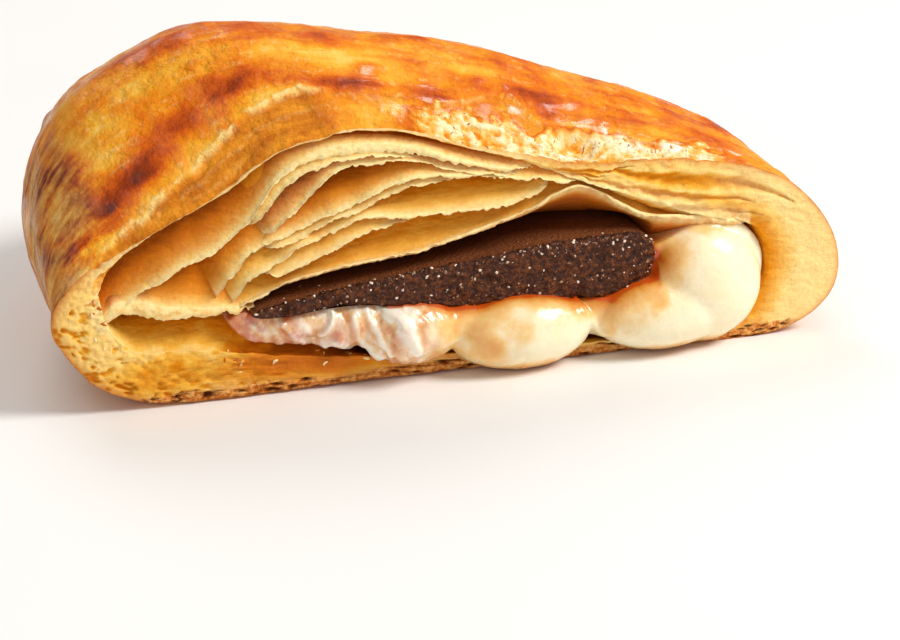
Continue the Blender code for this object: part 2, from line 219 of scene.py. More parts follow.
# The cream behind the cut, and centre and half sizes of each run that hangs in front of it.
CREAM_OUTLINE = [
    (-28.2, 10.4), (-24.5, 6.9), (-15.0, 5.6), (-5.0, 4.2), (10.0, 3.4), (28.0, 3.2),
    (37.4, 4.2), (41.4, 7.6), (42.0, 11.6), (39.4, 15.2), (33.4, 16.2), (27.0, 13.6),
    (16.0, 12.4), (2.0, 12.0), (-11.0, 11.6), (-21.0, 11.2),
]
CREAM_BACK = 38.0
CREAM_BEND = 23.6
CREAM_DRAW_IN = (0.45, 0.35)
CREAM_MIDDLE = 8.0
CREAM_BLEND = 8.0
LOBES = [
    ((33.9, 0.3, 8.0), (7.6, 4.8, 7.5)),
    ((36.4, 0.9, 10.4), (4.6, 3.4, 4.6)),
    ((28.2, 0.2, 5.2), (9.4, 5.2, 5.0)),
    ((21.0, 1.6, 5.8), (6.0, 3.4, 3.4)),
    ((9.2, 0.0, 4.9), (9.4, 5.2, 5.0)),
    ((2.0, 1.0, 6.6), (6.4, 3.4, 3.0)),
    ((-4.8, 0.2, 6.4), (6.4, 4.0, 4.2)),
    ((-12.4, 1.0, 8.0), (5.4, 2.6, 2.8)),
    ((-18.4, 1.2, 8.8), (5.4, 2.0, 1.9)),
]


def smooth_step(value):
    """0 up to 0, 1 from 1 on, and a smooth rise between."""
    value = np.clip(value, 0.0, 1.0)
    return value * value * (3 - 2 * value)


def fade_in(value, start, length):
    """0 up to the start, 1 from one length beyond it on, and smooth between."""
    return smooth_step((value - start) / length)


def fade_out(value, end, length):
    """1 up to one length before the end, 0 from the end on, and smooth between."""
    return smooth_step((end - value) / length)


def band(value, edges):
    """1 between two edges and 0 outside them; the edges say where and over which length."""
    start, rise, end, fall = edges
    return fade_in(value, start, rise) * fade_out(value, end, fall)


def spread(across, along, middle, half):
    """The square of the distance from a spot's middle, counted in its half sizes."""
    return ((across - middle[0]) / half[0]) ** 2 + ((along - middle[1]) / half[1]) ** 2


def curve_at(points, shares, closed):
    """Places at these shares, from 0 to 1, of a smooth curve through the points."""
    points = np.array(points, float)
    last = len(points) if closed else len(points) - 1
    along = np.asarray(shares) * last
    start = np.minimum(along.astype(int), last - 1)
    share = (along - start)[:, None]
    if closed:
        before, here, after, beyond = (points[(start + k) % last] for k in (-1, 0, 1, 2))
    else:
        padded = np.vstack([2 * points[0] - points[1], points, 2 * points[-1] - points[-2]])
        before, here, after, beyond = (padded[start + k] for k in (0, 1, 2, 3))
    return 0.5 * (
        2 * here
        + (after - before) * share
        + (2 * before - 5 * here + 4 * after - beyond) * share**2
        + (3 * here - before - 3 * after + beyond) * share**3
    )


def ring_through(points):
    """The points of one ring of the dough on a smooth closed curve through the points."""
    return curve_at(points, TURN, closed=True)


def height_along(points, x):
    """The height at each x of a smooth line through the points, which run left to right."""
    line = curve_at(points, np.linspace(0, 1, 40 * len(points)), closed=False)
    return np.interp(x, line[:, 0], line[:, 1])


def outward(ring):
    """Unit vectors that point out of a ring that runs clockwise, as seen from the front."""
    along = np.roll(ring, -1, axis=0) - np.roll(ring, 1, axis=0)
    across = np.stack([-along[:, 1], along[:, 0]], axis=1)
    return across / np.linalg.norm(across, axis=1, keepdims=True)


def taper(share, powers):
    """How the dough narrows towards its far end: 1 where the share is 0, and 0 where it is 1."""
    rise, fall = powers
    return (1 - share**rise) ** (1 / fall)


# The points of a ring lie closer together round this share of the way, over the top of the cut.
DENSE_TURN, DENSE_REACH = 0.42, 0.2
DENSER = 1.7


def spread_turns(count):
    """Shares of the way round, one for each point of a ring."""
    share = np.linspace(0, 1, 4001)
    total = np.cumsum(1 + DENSER * np.exp(-(((share - DENSE_TURN) / DENSE_REACH) ** 4)))
    return np.interp(np.arange(count) / count, (total - total[0]) / (total[-1] - total[0]), share)


# How many points a ring of the crust or the rim has, and where they lie round it.
AROUND = 690
TURN = spread_turns(AROUND)


def dough_section(depth):
    """The outline of the dough, as x and z, this far behind the cut."""
    cut, full = ring_through(CUT_OUTLINE), ring_through(FULL_OUTLINE)
    if depth < FULL_DEPTH:
        filled = 1 - (1 - depth / FULL_DEPTH) ** 2
        ring = cut * (1 - filled) + full * filled
    else:
        share = (depth - FULL_DEPTH) / (WRAP_DEPTH - FULL_DEPTH)
        rightness = 1 / (1 + np.exp(-full[:, 0] / SIDE_BLEND))
        left, right = taper(share, LEFT_TAPER), taper(share, RIGHT_TAPER)
        across = full[:, 0] * (left * (1 - rightness) + right * rightness)
        lift = END_HEIGHT * share**6
        up = np.maximum(full[:, 1], 0.0) * taper(share, TOP_TAPER) + lift
        ring = np.stack([across, up], axis=1)
    swell = smooth_step(ring[:, 1] / BASE_BLEND) * crust_swell(ring, depth)
    return ring + outward(ring) * swell[:, None]


def crust_swell(ring, depth):
    """The baked crust's shallow rises and creases, which fade out at the cut."""
    across = ring[:, 0] + 0.5 * ring[:, 1]
    total = np.zeros(len(ring))
    for height, length, slant, start in SWELLS:
        total += height * np.sin(math.tau * (across + slant * depth) / length + start)
    return total * smooth_step(depth / 5.0)


# Noise, the same on every run.


def lattice_value(i, j, k, seed):
    """A fixed number from 0 to 1 for each whole-numbered place."""
    h = (i * 374761393 + j * 668265263 + k * 1442695041 + seed * 974634777) & 0xFFFFFFFF
    h = ((h ^ (h >> 13)) * 1274126177) & 0xFFFFFFFF
    return ((h ^ (h >> 16)) & 0xFFFFFF) / 0xFFFFFF


def noise(points, scale, seed=0):
    """Smooth noise from -1 to 1, with bumps about as wide as the scale, in millimetres."""
    place = np.asarray(points, float) / scale
    cell = np.floor(place).astype(np.int64)
    part = place - cell
    part = part * part * (3 - 2 * part)
    total = 0.0
    for step in itertools.product((0, 1), repeat=3):
        weight = 1.0
        for axis in range(3):
            weight = weight * (part[..., axis] if step[axis] else 1 - part[..., axis])
        total = total + weight * lattice_value(*(cell[..., a] + step[a] for a in range(3)), seed)
    return 2 * total - 1


def fractal(points, scale, octaves=3, seed=0):
    """Noise from -1 to 1 with finer and fainter noise on it, half as wide each time."""
    scale = np.asarray(scale, float)
    total, size = 0.0, 0.0
    for octave in range(octaves):
        total = total + noise(points, scale / 2**octave, seed + octave) / 2**octave
        size += 1 / 2**octave
    return total / size


def cells(points, scale, seed=0):
    """Distance to the nearest of the points that lie scattered, one in each cell."""
    place = np.asarray(points, float) / scale
    base = np.floor(place).astype(np.int64)
    near = np.full(place.shape[:-1], 9.0)
    for step in itertools.product((-1, 0, 1), repeat=3):
        corner = base + step
        axes = [corner[..., a] for a in range(3)]
        jitter = np.stack([lattice_value(*axes, seed + 17 * a) for a in range(3)], axis=-1)
        near = np.minimum(near, np.linalg.norm(corner + jitter - place, axis=-1))
    return near


def at(x, y, z):
    """Places from their three numbers, any of which may be the same for all."""
    return np.stack(np.broadcast_arrays(x, y, z), axis=-1).astype(float)


# Meshes.


def add_mesh(name, points, faces, look, marks=None):
    """An object with this mesh, in metres, and its named number for each point."""
    mesh = bpy.data.meshes.new(name)
    places = (points.reshape(-1, 3) - ORIGIN) * MM
    mesh.from_pydata(places.tolist(), [], faces)
    mesh.update()
    set_marks(mesh, marks or {})
    mesh.materials.append(look)
    mesh.shade_smooth()
    piece = bpy.data.objects.new(name, mesh)
    bpy.context.scene.collection.objects.link(piece)
    return piece


def set_marks(mesh, marks):
    """Named numbers for each point of the mesh, which its material reads."""
    for label, values in marks.items():
        layer = mesh.attributes.new(label, "FLOAT", "POINT")
        layer.data.foreach_set("value", np.ascontiguousarray(values, np.float32).ravel())


def ring_faces(rows, around, turned=False):
    """Quads between rings of points, row after row."""
    i, j = np.meshgrid(np.arange(rows - 1), np.arange(around), indexing="ij")
    after = (j + 1) % around
    near, far = i * around, (i + 1) * around
    quads = np.stack([near + j, near + after, far + after, far + j], axis=-1).reshape(-1, 4)
    return (quads[:, ::-1] if turned else quads).tolist()


def fan_faces(start, around, centre, turned=False):
    """Triangles from one ring of points to the point in its middle."""
    faces = [[start + j, start + (j + 1) % around, centre] for j in range(around)]
    return [face[::-1] for face in faces] if turned else faces


def capped(rows, ends=None, turned=True):
    """Points and faces of rings of points, row after row, closed by a point at each end.

    Where no ends are given, they are the middles of the first and the last ring.
    """
    if ends is None:
        middle = rows.mean(axis=1)
        ends = (middle[0], middle[-1])
    count, around = rows.shape[:2]
    last = (count - 1) * around
    faces = ring_faces(count, around, turned)
    faces += fan_faces(0, around, last + around, not turned)
    faces += fan_faces(last, around, last + around + 1, turned)
    return np.vstack([rows.reshape(-1, 3), *ends]), faces


def rideable(piece, node):
    """Ties a finished piece to the part's one body, and hides the solid that it stands for."""
    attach(piece, "root")
    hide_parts(node)


# The crust, the rim's face and the hollow behind it.

RIM_ROWS = 46
HOLLOW_ROWS = 26

# Creases, in the nose and over the mouth, where layers part a little: the upper edge, the
# greatest opening and the depth.
CREASES = [
    ([(20.0, 24.9), (29.0, 23.7), (35.0, 22.9), (41.0, 21.0), (46.0, 17.9)], 3.0, 0.8),
    ([(17.0, 24.2), (26.3, 21.9), (32.0, 20.6), (38.0, 19.4), (41.0, 18.3)], 1.7, 0.6),
    ([(22.0, 21.2), (30.0, 19.2), (36.4, 18.2), (41.6, 16.6)], 1.5, 0.5),
    ([(5.0, 28.4), (11.0, 26.6), (18.0, 25.1), (24.0, 24.7)], 1.2, 0.6),
    ([(2.0, 28.0), (8.0, 26.2), (15.0, 24.9), (21.0, 23.9)], 1.0, 0.6),
]


# Patches of the crust: share of the way round, depth, half sizes of both, and how much
# browner they are baked than the rest.
PATCHES = [
    (0.440, 3.6, 0.030, 1.0, 0.22), (0.500, 5.6, 0.018, 0.8, 0.16), (0.296, 3.1, 0.030, 1.2, 0.54),
    (0.330, 4.0, 0.020, 0.9, 0.36), (0.262, 2.0, 0.016, 1.2, 0.40), (0.240, 6.0, 0.020, 5.0, 0.16),
    (0.290, 9.5, 0.030, 4.0, -0.20), (0.345, 8.6, 0.025, 1.8, -0.10), (0.372, 5.0, 0.036, 0.9, 0.30),
    (0.432, 7.2, 0.034, 1.2, -0.26), (0.428, 4.1, 0.024, 0.5, 0.26), (0.410, 11.0, 0.070, 2.2, 0.22),
    (0.480, 3.8, 0.014, 0.8, 0.20), (0.534, 5.4, 0.014, 0.8, 0.36), (0.540, 3.6, 0.008, 1.0, 0.30),
    (0.520, 7.5, 0.040, 2.4, 0.10), (0.632, 8.0, 0.020, 2.6, 0.14), (0.580, 8.5, 0.050, 1.5, 0.10),
    (0.660, 14.0, 0.030, 6.0, 0.15), (0.300, 34.0, 0.060, 9.0, 0.20), (0.560, 34.0, 0.060, 8.0, 0.18),
    (0.440, 48.0, 0.080, 6.0, 0.26), (0.600, 5.0, 0.030, 2.2, 0.10), (0.330, 13.0, 0.050, 5.0, 0.16),
]

# Painted highlights, near-white spots on thin blisters: share of the way round, depth, and half sizes
# of both.
HIGHLIGHT_SPOTS = [
    (0.571, 2.4, 0.006, 0.6), (0.579, 1.2, 0.007, 0.5), (0.612, 0.6, 0.008, 0.5),
    (0.600, 1.6, 0.006, 0.5), (0.522, 3.6, 0.005, 0.4), (0.548, 0.7, 0.010, 0.35),
    (0.636, 2.4, 0.007, 0.5),
]


def skin_edge(places):
    """How far behind the cut the outer skin begins, for each point of a ring."""
    ragged = 0.34 * fractal(places, 2.4, 3, seed=5) + 0.14 * noise(places, 0.8, seed=6)
    return np.interp(TURN, *np.array(SKIN_EDGE).T) + ragged


def skin_bared():
    """1 where the outer skin is torn back, and 0 at the underside and the far nose."""
    return band(TURN, SKIN_BARED)


def crumbly():
    """1 where the torn dough is full of small flakes, right of the top of the cut."""
    return band(TURN, CRUMBLY)


def lip_strength():
    """How plainly the torn edge of the outer skin shows, from 0 to 1, round the outline."""
    fading = fade_in(TURN, 0.410, 0.014)
    return 1 - 0.85 * fading + 0.30 * fade_in(TURN, 0.47, 0.02)


# The burst blister over the nose's root: how deep it is, and its middle and half sizes as share
# of the way round and depth.
BLISTER_DROP = 1.7
BLISTER_MIDDLE = (0.5505, 1.6)
BLISTER_HALF = (0.010, 1.0)


def blister_hollow(depth):
    """1 in the burst blister, and 0 round it."""
    turn, middle = BLISTER_MIDDLE
    half_turn, half_depth = BLISTER_HALF
    return np.exp(-(((TURN - turn) / half_turn) ** 4) - ((depth - middle) / half_depth) ** 4)


# The crust's rows of points lie closest down to the first of these depths, then less close.
FINE_DEPTH = 5.0
MIDDLE_DEPTH = 11.0


def crust_rows():
    """Depths of the crust's rows of points, closest together near the cut."""
    near = FINE_DEPTH * np.linspace(0, 1, 54)
    middle = np.linspace(FINE_DEPTH, MIDDLE_DEPTH, 23)[1:]
    back = 1 - (1 - np.linspace(0, 1, 67)[1:]) ** 1.7
    return np.concatenate([near, middle, MIDDLE_DEPTH + (WRAP_DEPTH - MIDDLE_DEPTH - 0.02) * back])


# How high each kind of relief of the crust stands, in millimetres.
LUMP_HEIGHT = 0.2
STREAK_HEIGHT = 0.09
BARE_STREAK_HEIGHT = 0.03
BLISTER_HEIGHT = 0.7
ROUGH_HEIGHT = 0.22
PUFF_HEIGHT = 0.32
FLAKE_HEIGHT = 0.3

# Thinner skins torn back in front of the outer one: where each begins, as a share of the outer
# skin's depth, how far the crust drops there, and the seed of its ragged line.
UNDER_SKINS = [(0.62, 0.2, 62), (0.3, 0.16, 63)]


def torn_skin(depth, edge, flat, wrap):
    """The relief of the torn outer skin, how bare and torn the crust is, and where the skin lies."""
    bared, lipped = skin_bared(), lip_strength()
    step = SKIN_STEP * (0.4 + 0.6 * np.clip(edge / 3.0, 0, 1))
    behind = smooth_step((depth - edge) / 0.22 + 0.5)
    bare = bared * (1 - behind) * lipped
    torn = bared * lipped * np.exp(-(((depth - edge - 0.08) / 0.13) ** 2))
    torn = torn * fade_in(noise(wrap, (1.8, 1.0, 1.0), seed=64), -0.45, 0.4)
    height = -step * bare + 0.16 * torn * (0.6 + noise(wrap, (0.9, 1.0, 1.0), seed=61))
    for share, drop, seed in UNDER_SKINS:
        place = share * edge + 0.2 * fractal(flat, 1.8, 3, seed)
        broken = fade_in(noise(wrap, (4.0, 1.0, 1.0), seed + 5), -0.2, 0.4)
        shown = 0.6 * bared * lipped * broken
        height = height - drop * shown * (1 - smooth_step((depth - place) / 0.14 + 0.5))
        line = shown * np.exp(-(((depth - place - 0.06) / 0.10) ** 2)) * (edge > 0.8)
        torn = np.maximum(torn, 0.3 * line)
    return height, bare, torn, behind


def flaking(depth, edge, arc, wrap):
    """Flakes of the crust near the cut: their relief, how flaky it is and how many crumbs lie."""
    slant = at(arc + 0.8 * depth, depth - 0.12 * arc, 0.0)
    ridge = 1 - 2.4 * np.abs(fractal(slant, (2.4, 0.9, 1.0), 2, seed=53))
    flake = 0.3 * ridge + 0.9 * fractal(wrap, (0.9, 0.45, 1.0), 3, seed=54)
    reach = 1.7 + 1.0 * noise(wrap, (3.0, 2.0, 1.0), 57)
    near_cut = 1 - fade_in(depth, reach, 1.0)
    fleck = fade_in(noise(wrap, (1.7, 0.7, 1.0), 58), 0.25, 0.2)
    fleck = fleck * (1 - fade_in(depth, edge, 0.8))
    strewn_over = crumbly() * near_cut * np.clip(0.2 + 0.8 * flake, 0, 1)
    return flake, crumbly() * np.maximum(near_cut, 0.6 * fleck), strewn_over


def baked_tone(depth, streaks):
    """How brown the crust is baked, and where near-white painted highlights lie on its thin blisters.
    """
    bake, white = 0.4 + 0.16 * streaks, np.zeros(AROUND)
    for turn, middle, half_turn, half_depth, change in PATCHES:
        far = spread(TURN, depth, (turn, middle), (half_turn, half_depth))
        bake = bake + change * np.exp(-far * (1.1 + 0.5 * streaks))
    for turn, middle, half_turn, half_depth in HIGHLIGHT_SPOTS:
        far = spread(TURN, depth, (turn, middle), (half_turn, half_depth))
        white = np.maximum(white, np.exp(-(far**2)))
    return bake, white


def gathered(marks):
    """The marks of all rows in one table, from one table for each row."""
    return {label: np.array([row[label] for row in marks]) for label in marks[0]}


def crust_surface():
    """Points of the crust, row by row from the cut to the closed end, and their marks."""
    start = dough_section(0.0)
    arc = np.cumsum(np.linalg.norm(start - np.roll(start, 1, axis=0), axis=1))
    flat = at(start[:, 0], 0.0, start[:, 1])
    edge, bared = skin_edge(flat), skin_bared()
    rows, marks = [], []
    for depth in crust_rows():
        ring = dough_section(depth)
        places = at(ring[:, 0], depth, ring[:, 1])
        wrap = at(arc, depth, 0.0)
        height, bare, torn, behind = torn_skin(depth, edge, flat, wrap)
        lumps = LUMP_HEIGHT * fractal(places, 7.0, 3, seed=11) * smooth_step(depth / 4.0)
        warped = depth + 0.5 * noise(places, 5.0, seed=31)
        streaks = fractal(at(arc / 5.0, warped / 0.75, 0.0), 1.0, 3, seed=21)
        blister = np.clip(noise(places, (4.6, 3.0, 3.6), seed=41) - 0.38, 0, 1) ** 1.2
        right = fade_in(TURN, 0.5, 0.05) * fade_out(depth, 6.0, 4.0)
        rough = fractal(places, (1.5, 1.2, 1.2), 3, seed=52)
        streaked = (STREAK_HEIGHT - (STREAK_HEIGHT - BARE_STREAK_HEIGHT) * bare) * streaks
        height = height + lumps + streaked + BLISTER_HEIGHT * blister * behind
        height = height + ROUGH_HEIGHT * right * rough * bared
        puffed = 0.5 - np.abs(fractal(at(arc / 3.0, warped, 0.0), (1.6, 2.2, 1.0), 3, seed=51))
        height = height + PUFF_HEIGHT * puffed * fade_in(depth, 3.0, 4.0)
        flake, flaky, strewn_over = flaking(depth, edge, arc, wrap)
        height = height + FLAKE_HEIGHT * flaky * flake - BLISTER_DROP * blister_hollow(depth)
        height = height * smooth_step(ring[:, 1] / 3.0)
        ring = ring + outward(ring) * height[:, None]
        ring[:, 1] = np.maximum(ring[:, 1], 0.0)
        rows.append(at(ring[:, 0], depth + front_wave(places), ring[:, 1]))
        bake, white = baked_tone(warped, streaks)
        strip = bared * behind * np.exp(-np.clip((depth - edge) / 1.1, 0, 9) ** 2)
        marks.append({
            "bake": bake, "bare": bare, "torn": torn,
            "flaky": flaky * np.clip(0.62 + 0.5 * flake, 0, 1), "blister": blister * behind,
            "strip": strip * fade_out(TURN, 0.44, 0.05),
            "flank": band(TURN, FLANK) * (1 - 0.85 * fade_in(depth, 16.0, 16.0)),
            "arc": arc, "depth": np.full(AROUND, depth), "crumbs": strewn_over, "white": white,
        })
    return np.array(rows), gathered(marks)


def front_wave(places):
    """The cut isn't quite flat: how far its edge wanders in depth."""
    fade = np.exp(-places[:, 1] / 1.2)
    return fade * (0.28 + 0.2 * fractal(places, 3.0, 3, seed=71) + 0.1 * noise(places, 0.7, 72))


def thin_edged(x, z):
    """1 where only a thin line of the rim reaches the cut, round the top of the hollow."""
    return fade_in(z, 14.0, 4.0) * band(x, THIN_EDGED)


def rim_relief(x, z, inward):
    """Depth of the rim's face behind the cut, its painted shade mixed with honey colour, and how
    honeyed and pitted its crumb is.
    """
    places = at(x, 0.0, z)
    upper_nose = fade_in(x, 12.0, 8.0) * fade_in(z, 13.0, 3.0)
    crumb = (0.16 + 0.22 * upper_nose) * fractal(places, (1.9, 1.6, 1.1), 3, seed=81)
    crumb = crumb + 0.12 * noise(places, 0.45, seed=82) * fade_out(x, 34.0, 6.0)
    warped = places + 0.5 * np.stack([noise(places, 1.7, 85), 0 * x, noise(places, 1.7, 86)], -1)
    open_cell = fade_out(cells(warped, (1.2, 3.0, 0.75), seed=83), 0.56, 0.28)
    open_cell = open_cell * (noise(places, 2.6, 87) > -0.35)
    left = fade_out(x, -14.0, 12.0) * fade_out(z, 24.0, 6.0)
    crust_top = 2.0 + 0.5 * noise(places, 3.0, 88) + 0.3 * noise(places, 0.8, 89)
    base = fade_out(z, crust_top, 0.5) * band(x, BASE_CRUST)
    # Pits in the browned base, sunk and given painted shade.
    pit = base * fade_out(cells(warped, (1.4, 2.0, 0.60), seed=90), 0.40, 0.15)
    pit = pit * (noise(places, 2.0, 93) > -0.5)
    honey = np.clip(0.6 * left, 0, 1) * (1 - 0.6 * inward)
    depth = crumb + 0.8 * honey * open_cell + 0.7 * pit
    # Open cells of the honeyed crumb are sunk and given painted shade.
    deep = 0.8 * honey * open_cell
    for across, up, half_across, half_up, strength in HONEY:
        far = spread(x, z, (across, up), (half_across, half_up))
        spotted = 0.8 + 0.5 * fractal(places, 1.3, 3, seed=94)
        deep = np.maximum(deep, strength * np.exp(-(far**1.5)) * spotted)
    # Each crease is sunk and given painted shade.
    for edge, opening, reach in CREASES:
        lip = height_along(edge, x) + 0.3 * fractal(places, 1.3, 3, seed=84)
        share = np.clip((x - edge[0][0]) / (edge[-1][0] - edge[0][0]), 0, 1)
        wide = opening * np.sin(math.pi * share)
        below = (lip - z) / np.maximum(wide, 0.05)
        dip = smooth_step(below / 0.3) * fade_out(below, 1, 0.6) * (share > 0) * (share < 1)
        depth = depth + reach * dip * (0.8 + 0.4 * noise(places, 1.5, 95))
        deep = np.maximum(deep, 0.38 * dip)
    torn_line = 0.60 + 0.22 * fractal(places, 1.6, 3, seed=96) + 0.10 * noise(places, 0.6, seed=98)
    shelf = thin_edged(x, z) * fade_in(inward, torn_line, 0.22)
    # The shelf is sunk and given painted shade.
    depth = depth + 0.9 * shelf
    deep = np.maximum(deep, 0.46 * shelf)
    return depth, deep, honey, base, pit, shelf


def rim_and_hollow(first):
    """Rows from the crust's front edge over the rim's face, and back along the hollow."""
    hollow = ring_through(HOLLOW_OUTLINE)
    cut = dough_section(0.0)
    ragged = 0.22 * fractal(at(hollow[:, 0], 0, hollow[:, 1]), 1.5, 3, seed=91)
    hollow = hollow + outward(hollow) * ragged[:, None]
    outer = first[:, [0, 2]]
    rows = [first]
    for share in np.linspace(0, 1, RIM_ROWS)[1:]:
        place = outer + (hollow - outer) * share
        depth = rim_relief(place[:, 0], place[:, 1], share)[0]
        near_edge = np.exp(-share * np.linalg.norm(hollow - outer, axis=1) / 0.5)
        y = first[:, 1] * near_edge + depth * (1 - near_edge)
        rows.append(at(place[:, 0], y, place[:, 1]))
    lip = rows[-1][:, 1]
    for share in np.linspace(0, 1, HOLLOW_ROWS)[1:]:
        y = HOLLOW_DEPTH * share**1.2
        moved = dough_section(y) - cut
        place = hollow + moved * 0.96
        sunk = 1.6 * skin_bared() * fade_in(y, 0.2, 1.2)
        place = place - outward(hollow) * sunk[:, None]
        bowl = fade_out(place[:, 0], -10.0, 14.0) * fade_out(hollow[:, 1], 12.6, 3.0)
        floor_rise = np.maximum(BOWL_HEIGHT - place[:, 1], 0.0) * smooth_step(y / BOWL_DEPTH)
        place[:, 1] += bowl * floor_rise
        inside = at(place[:, 0], y, place[:, 1])
        floor_grain = 0.14 * fractal(inside, 1.0, 2, 100) * (place[:, 1] < 8.0)
        uneven = 0.15 * noise(inside, 2.5, 92) + floor_grain
        place = place + outward(hollow) * uneven[:, None]
        rows.append(at(place[:, 0], y + lip * (1 - share), place[:, 1]))
    marks = [inside_marks(number, row, outer, hollow) for number, row in enumerate(rows)]
    return np.array(rows), gathered(marks)


def inside_marks(number, row, outer, hollow):
    """The marks of one row of points, on the rim's face or on the hollow's wall behind it."""
    x, y, z = row.T
    wall = number >= RIM_ROWS
    share = min(number / (RIM_ROWS - 1), 1.0)
    _, deep, honey, base, pit, shelf = rim_relief(x, z, share)
    thin = thin_edged(x, z)
    gap = np.linalg.norm(row[:, [0, 2]] - outer, axis=1)
    inner = np.linalg.norm(row[:, [0, 2]] - hollow, axis=1)
    # Painted shade on the hollow's wall: darker further back, less high up and at the lower left.
    tone = 0.9 - 0.2 * fade_in(z, 18.0, 4.0)
    behind = tone * smooth_step(y / 6.0) ** 0.7 if wall else np.zeros(AROUND)
    behind = behind * (1 - 0.3 * fade_out(x, -28.0, 4.0) * fade_out(z, 12.0, 2.0))
    # Painted shadow under the cream, on the hollow's floor.
    shadow_under_cream = band(x, SHADOW_UNDER_CREAM) * (z < 7.0) * wall
    mottled = 0.75 + 0.5 * fractal(row, (2.4, 1.2, 1.2), 3, seed=99)
    behind = np.maximum(behind, 1.25 * shadow_under_cream * mottled)
    moist = 0.42 * fade_in(x, 30.0, 8.0) * np.exp(-((inner / 2.8) ** 2)) * (z > 3.0)
    fading = np.exp(-np.maximum(y, 0) / 0.6) if wall else fade_in(share, 0.6, 0.4)
    upper = fade_in(z, 9.0, 3.0) * (x < 40.0)
    pale = 0.7 * thin * (1 - shelf) * (not wall)
    pale_nose = 0.5 * fade_in(x, 33.0, 8.0) * smooth_step(inner / 5.0) * (not wall)
    toast = np.exp(-gap / (0.45 + 0.5 * honey)) * (1 - 0.6 * thin)
    base_strip = band(x, BASE_STRIP) * fade_out(z, 6.4, 1.2)
    rough = 0.55 + 0.5 * fractal(row, (1.6, 1.6, 0.9), 3, seed=60)
    floor = fade_out(z, 7.0, 2.0) * band(x, FLOOR_CRUMBS)
    knot = np.exp(-((x + 43.0) ** 2 + (z - 13.5) ** 2) / 9.0)
    return {
        "deep": np.maximum(np.maximum(deep * (not wall), behind), moist),
        "edge": np.maximum(0.8 * fading * upper * (1 - thin), np.maximum(pale, pale_nose)),
        "toast": np.maximum(toast, base_strip * rough) * (not wall),
        "stain": np.zeros(AROUND),
        "base": base * (not wall),
        "pit": pit * (not wall),
        "crumbs": np.maximum(0.2 * floor * (z > 3.0), 0.5 * knot) * (y < 1.5),
    }


def one_ended(rows, end, turned=False):
    """Points and faces of a bag: rings of points, row after row, and the point that closes it."""
    last = (len(rows) - 1) * AROUND
    faces = ring_faces(len(rows), AROUND, turned)
    faces += fan_faces(last, AROUND, last + AROUND, turned)
    return np.vstack([rows.reshape(-1, 3), end]), faces


def make_shell(crust_look, dough_look, crumb_look):
    """Two pieces that meet along the front edge: the crust, and the rim with its hollow."""
    outside, crust_marks = crust_surface()
    end = outside[-1].mean(axis=0)
    end[1] = WRAP_DEPTH
    inside, rim_marks = rim_and_hollow(outside[0])
    centre = inside[-1].mean(axis=0) + (0, 0.8, 0)
    shell = []
    for name, rows, tip, look, marks in (
        ("baked_crust", outside, end, crust_look, crust_marks),
        ("torn_rim", inside, centre, dough_look, rim_marks),
    ):
        marks = {label: np.append(some, some[-1].mean()) for label, some in marks.items()}
        points, faces = one_ended(rows, tip, turned=name == "torn_rim")
        shell.append(add_mesh(name, points, faces, look, marks))
    crust, rim = shell
    shell.append(strewn("torn_flakes", crust, chips(), crumb_look, "crumbs"))
    shell.append(strewn("fine_crumbs", rim, chips(), crumb_look, "crumbs"))
    for piece in shell:
        rideable(piece, "pastry")


# The layers inside the hollow.

# Places across the cut and depths behind it at which the layers' heights are worked out.
X_GRID = np.linspace(-50.0, 51.0, 304)
DEPTHS = LAYER_DEPTH * np.linspace(0, 1, 30) ** 1.35

# Rows of points on a layer's torn edge and its underside, and the spacing across the cut.
FACE_ROWS = 8
BOTTOM_ROWS = 12
STATION = 0.24
LAYER_TEETH = 0.42  # how far the ragged edge rises and falls

# Layers that begin right of this place are swept to the left behind the cut, by so much for
# each millimetre of depth.
SWEPT_FROM = -35.0
LAYER_SWEEP = 0.9

# How far behind its edge the moist layer comes to rest, at places along the cut.
MOIST_REACH = [(-25.0, 4.0), (-10.0, 7.0), (8.0, 11.0), (20.0, 8.0), (30.0, 5.0), (40.0, 4.0)]


def top_line(ring):
    """Height of a ring's upper side over X_GRID."""
    left, right = np.argmin(ring[:, 0]), np.argmax(ring[:, 0])
    upper = ring[left : right + 1]
    order = np.argsort(upper[:, 0])
    return np.interp(X_GRID, upper[order, 0], upper[order, 1])


TOP_AT_DEPTH = np.array([top_line(dough_section(depth)) for depth in DEPTHS])


def sampled(rows, x):
    """Values at each x of rows that are given over X_GRID, one row for each depth."""
    return np.array([np.interp(x, X_GRID, row) for row in rows])


def lifted(x, low):
    """Heights, by depth and place, of a line at the cut that rises as the dough swells."""
    top = sampled(TOP_AT_DEPTH, x)
    share = np.clip(low / np.maximum(top[0], 1.0), 0, 1) ** 1.15
    return low + (top - top[0]) * share


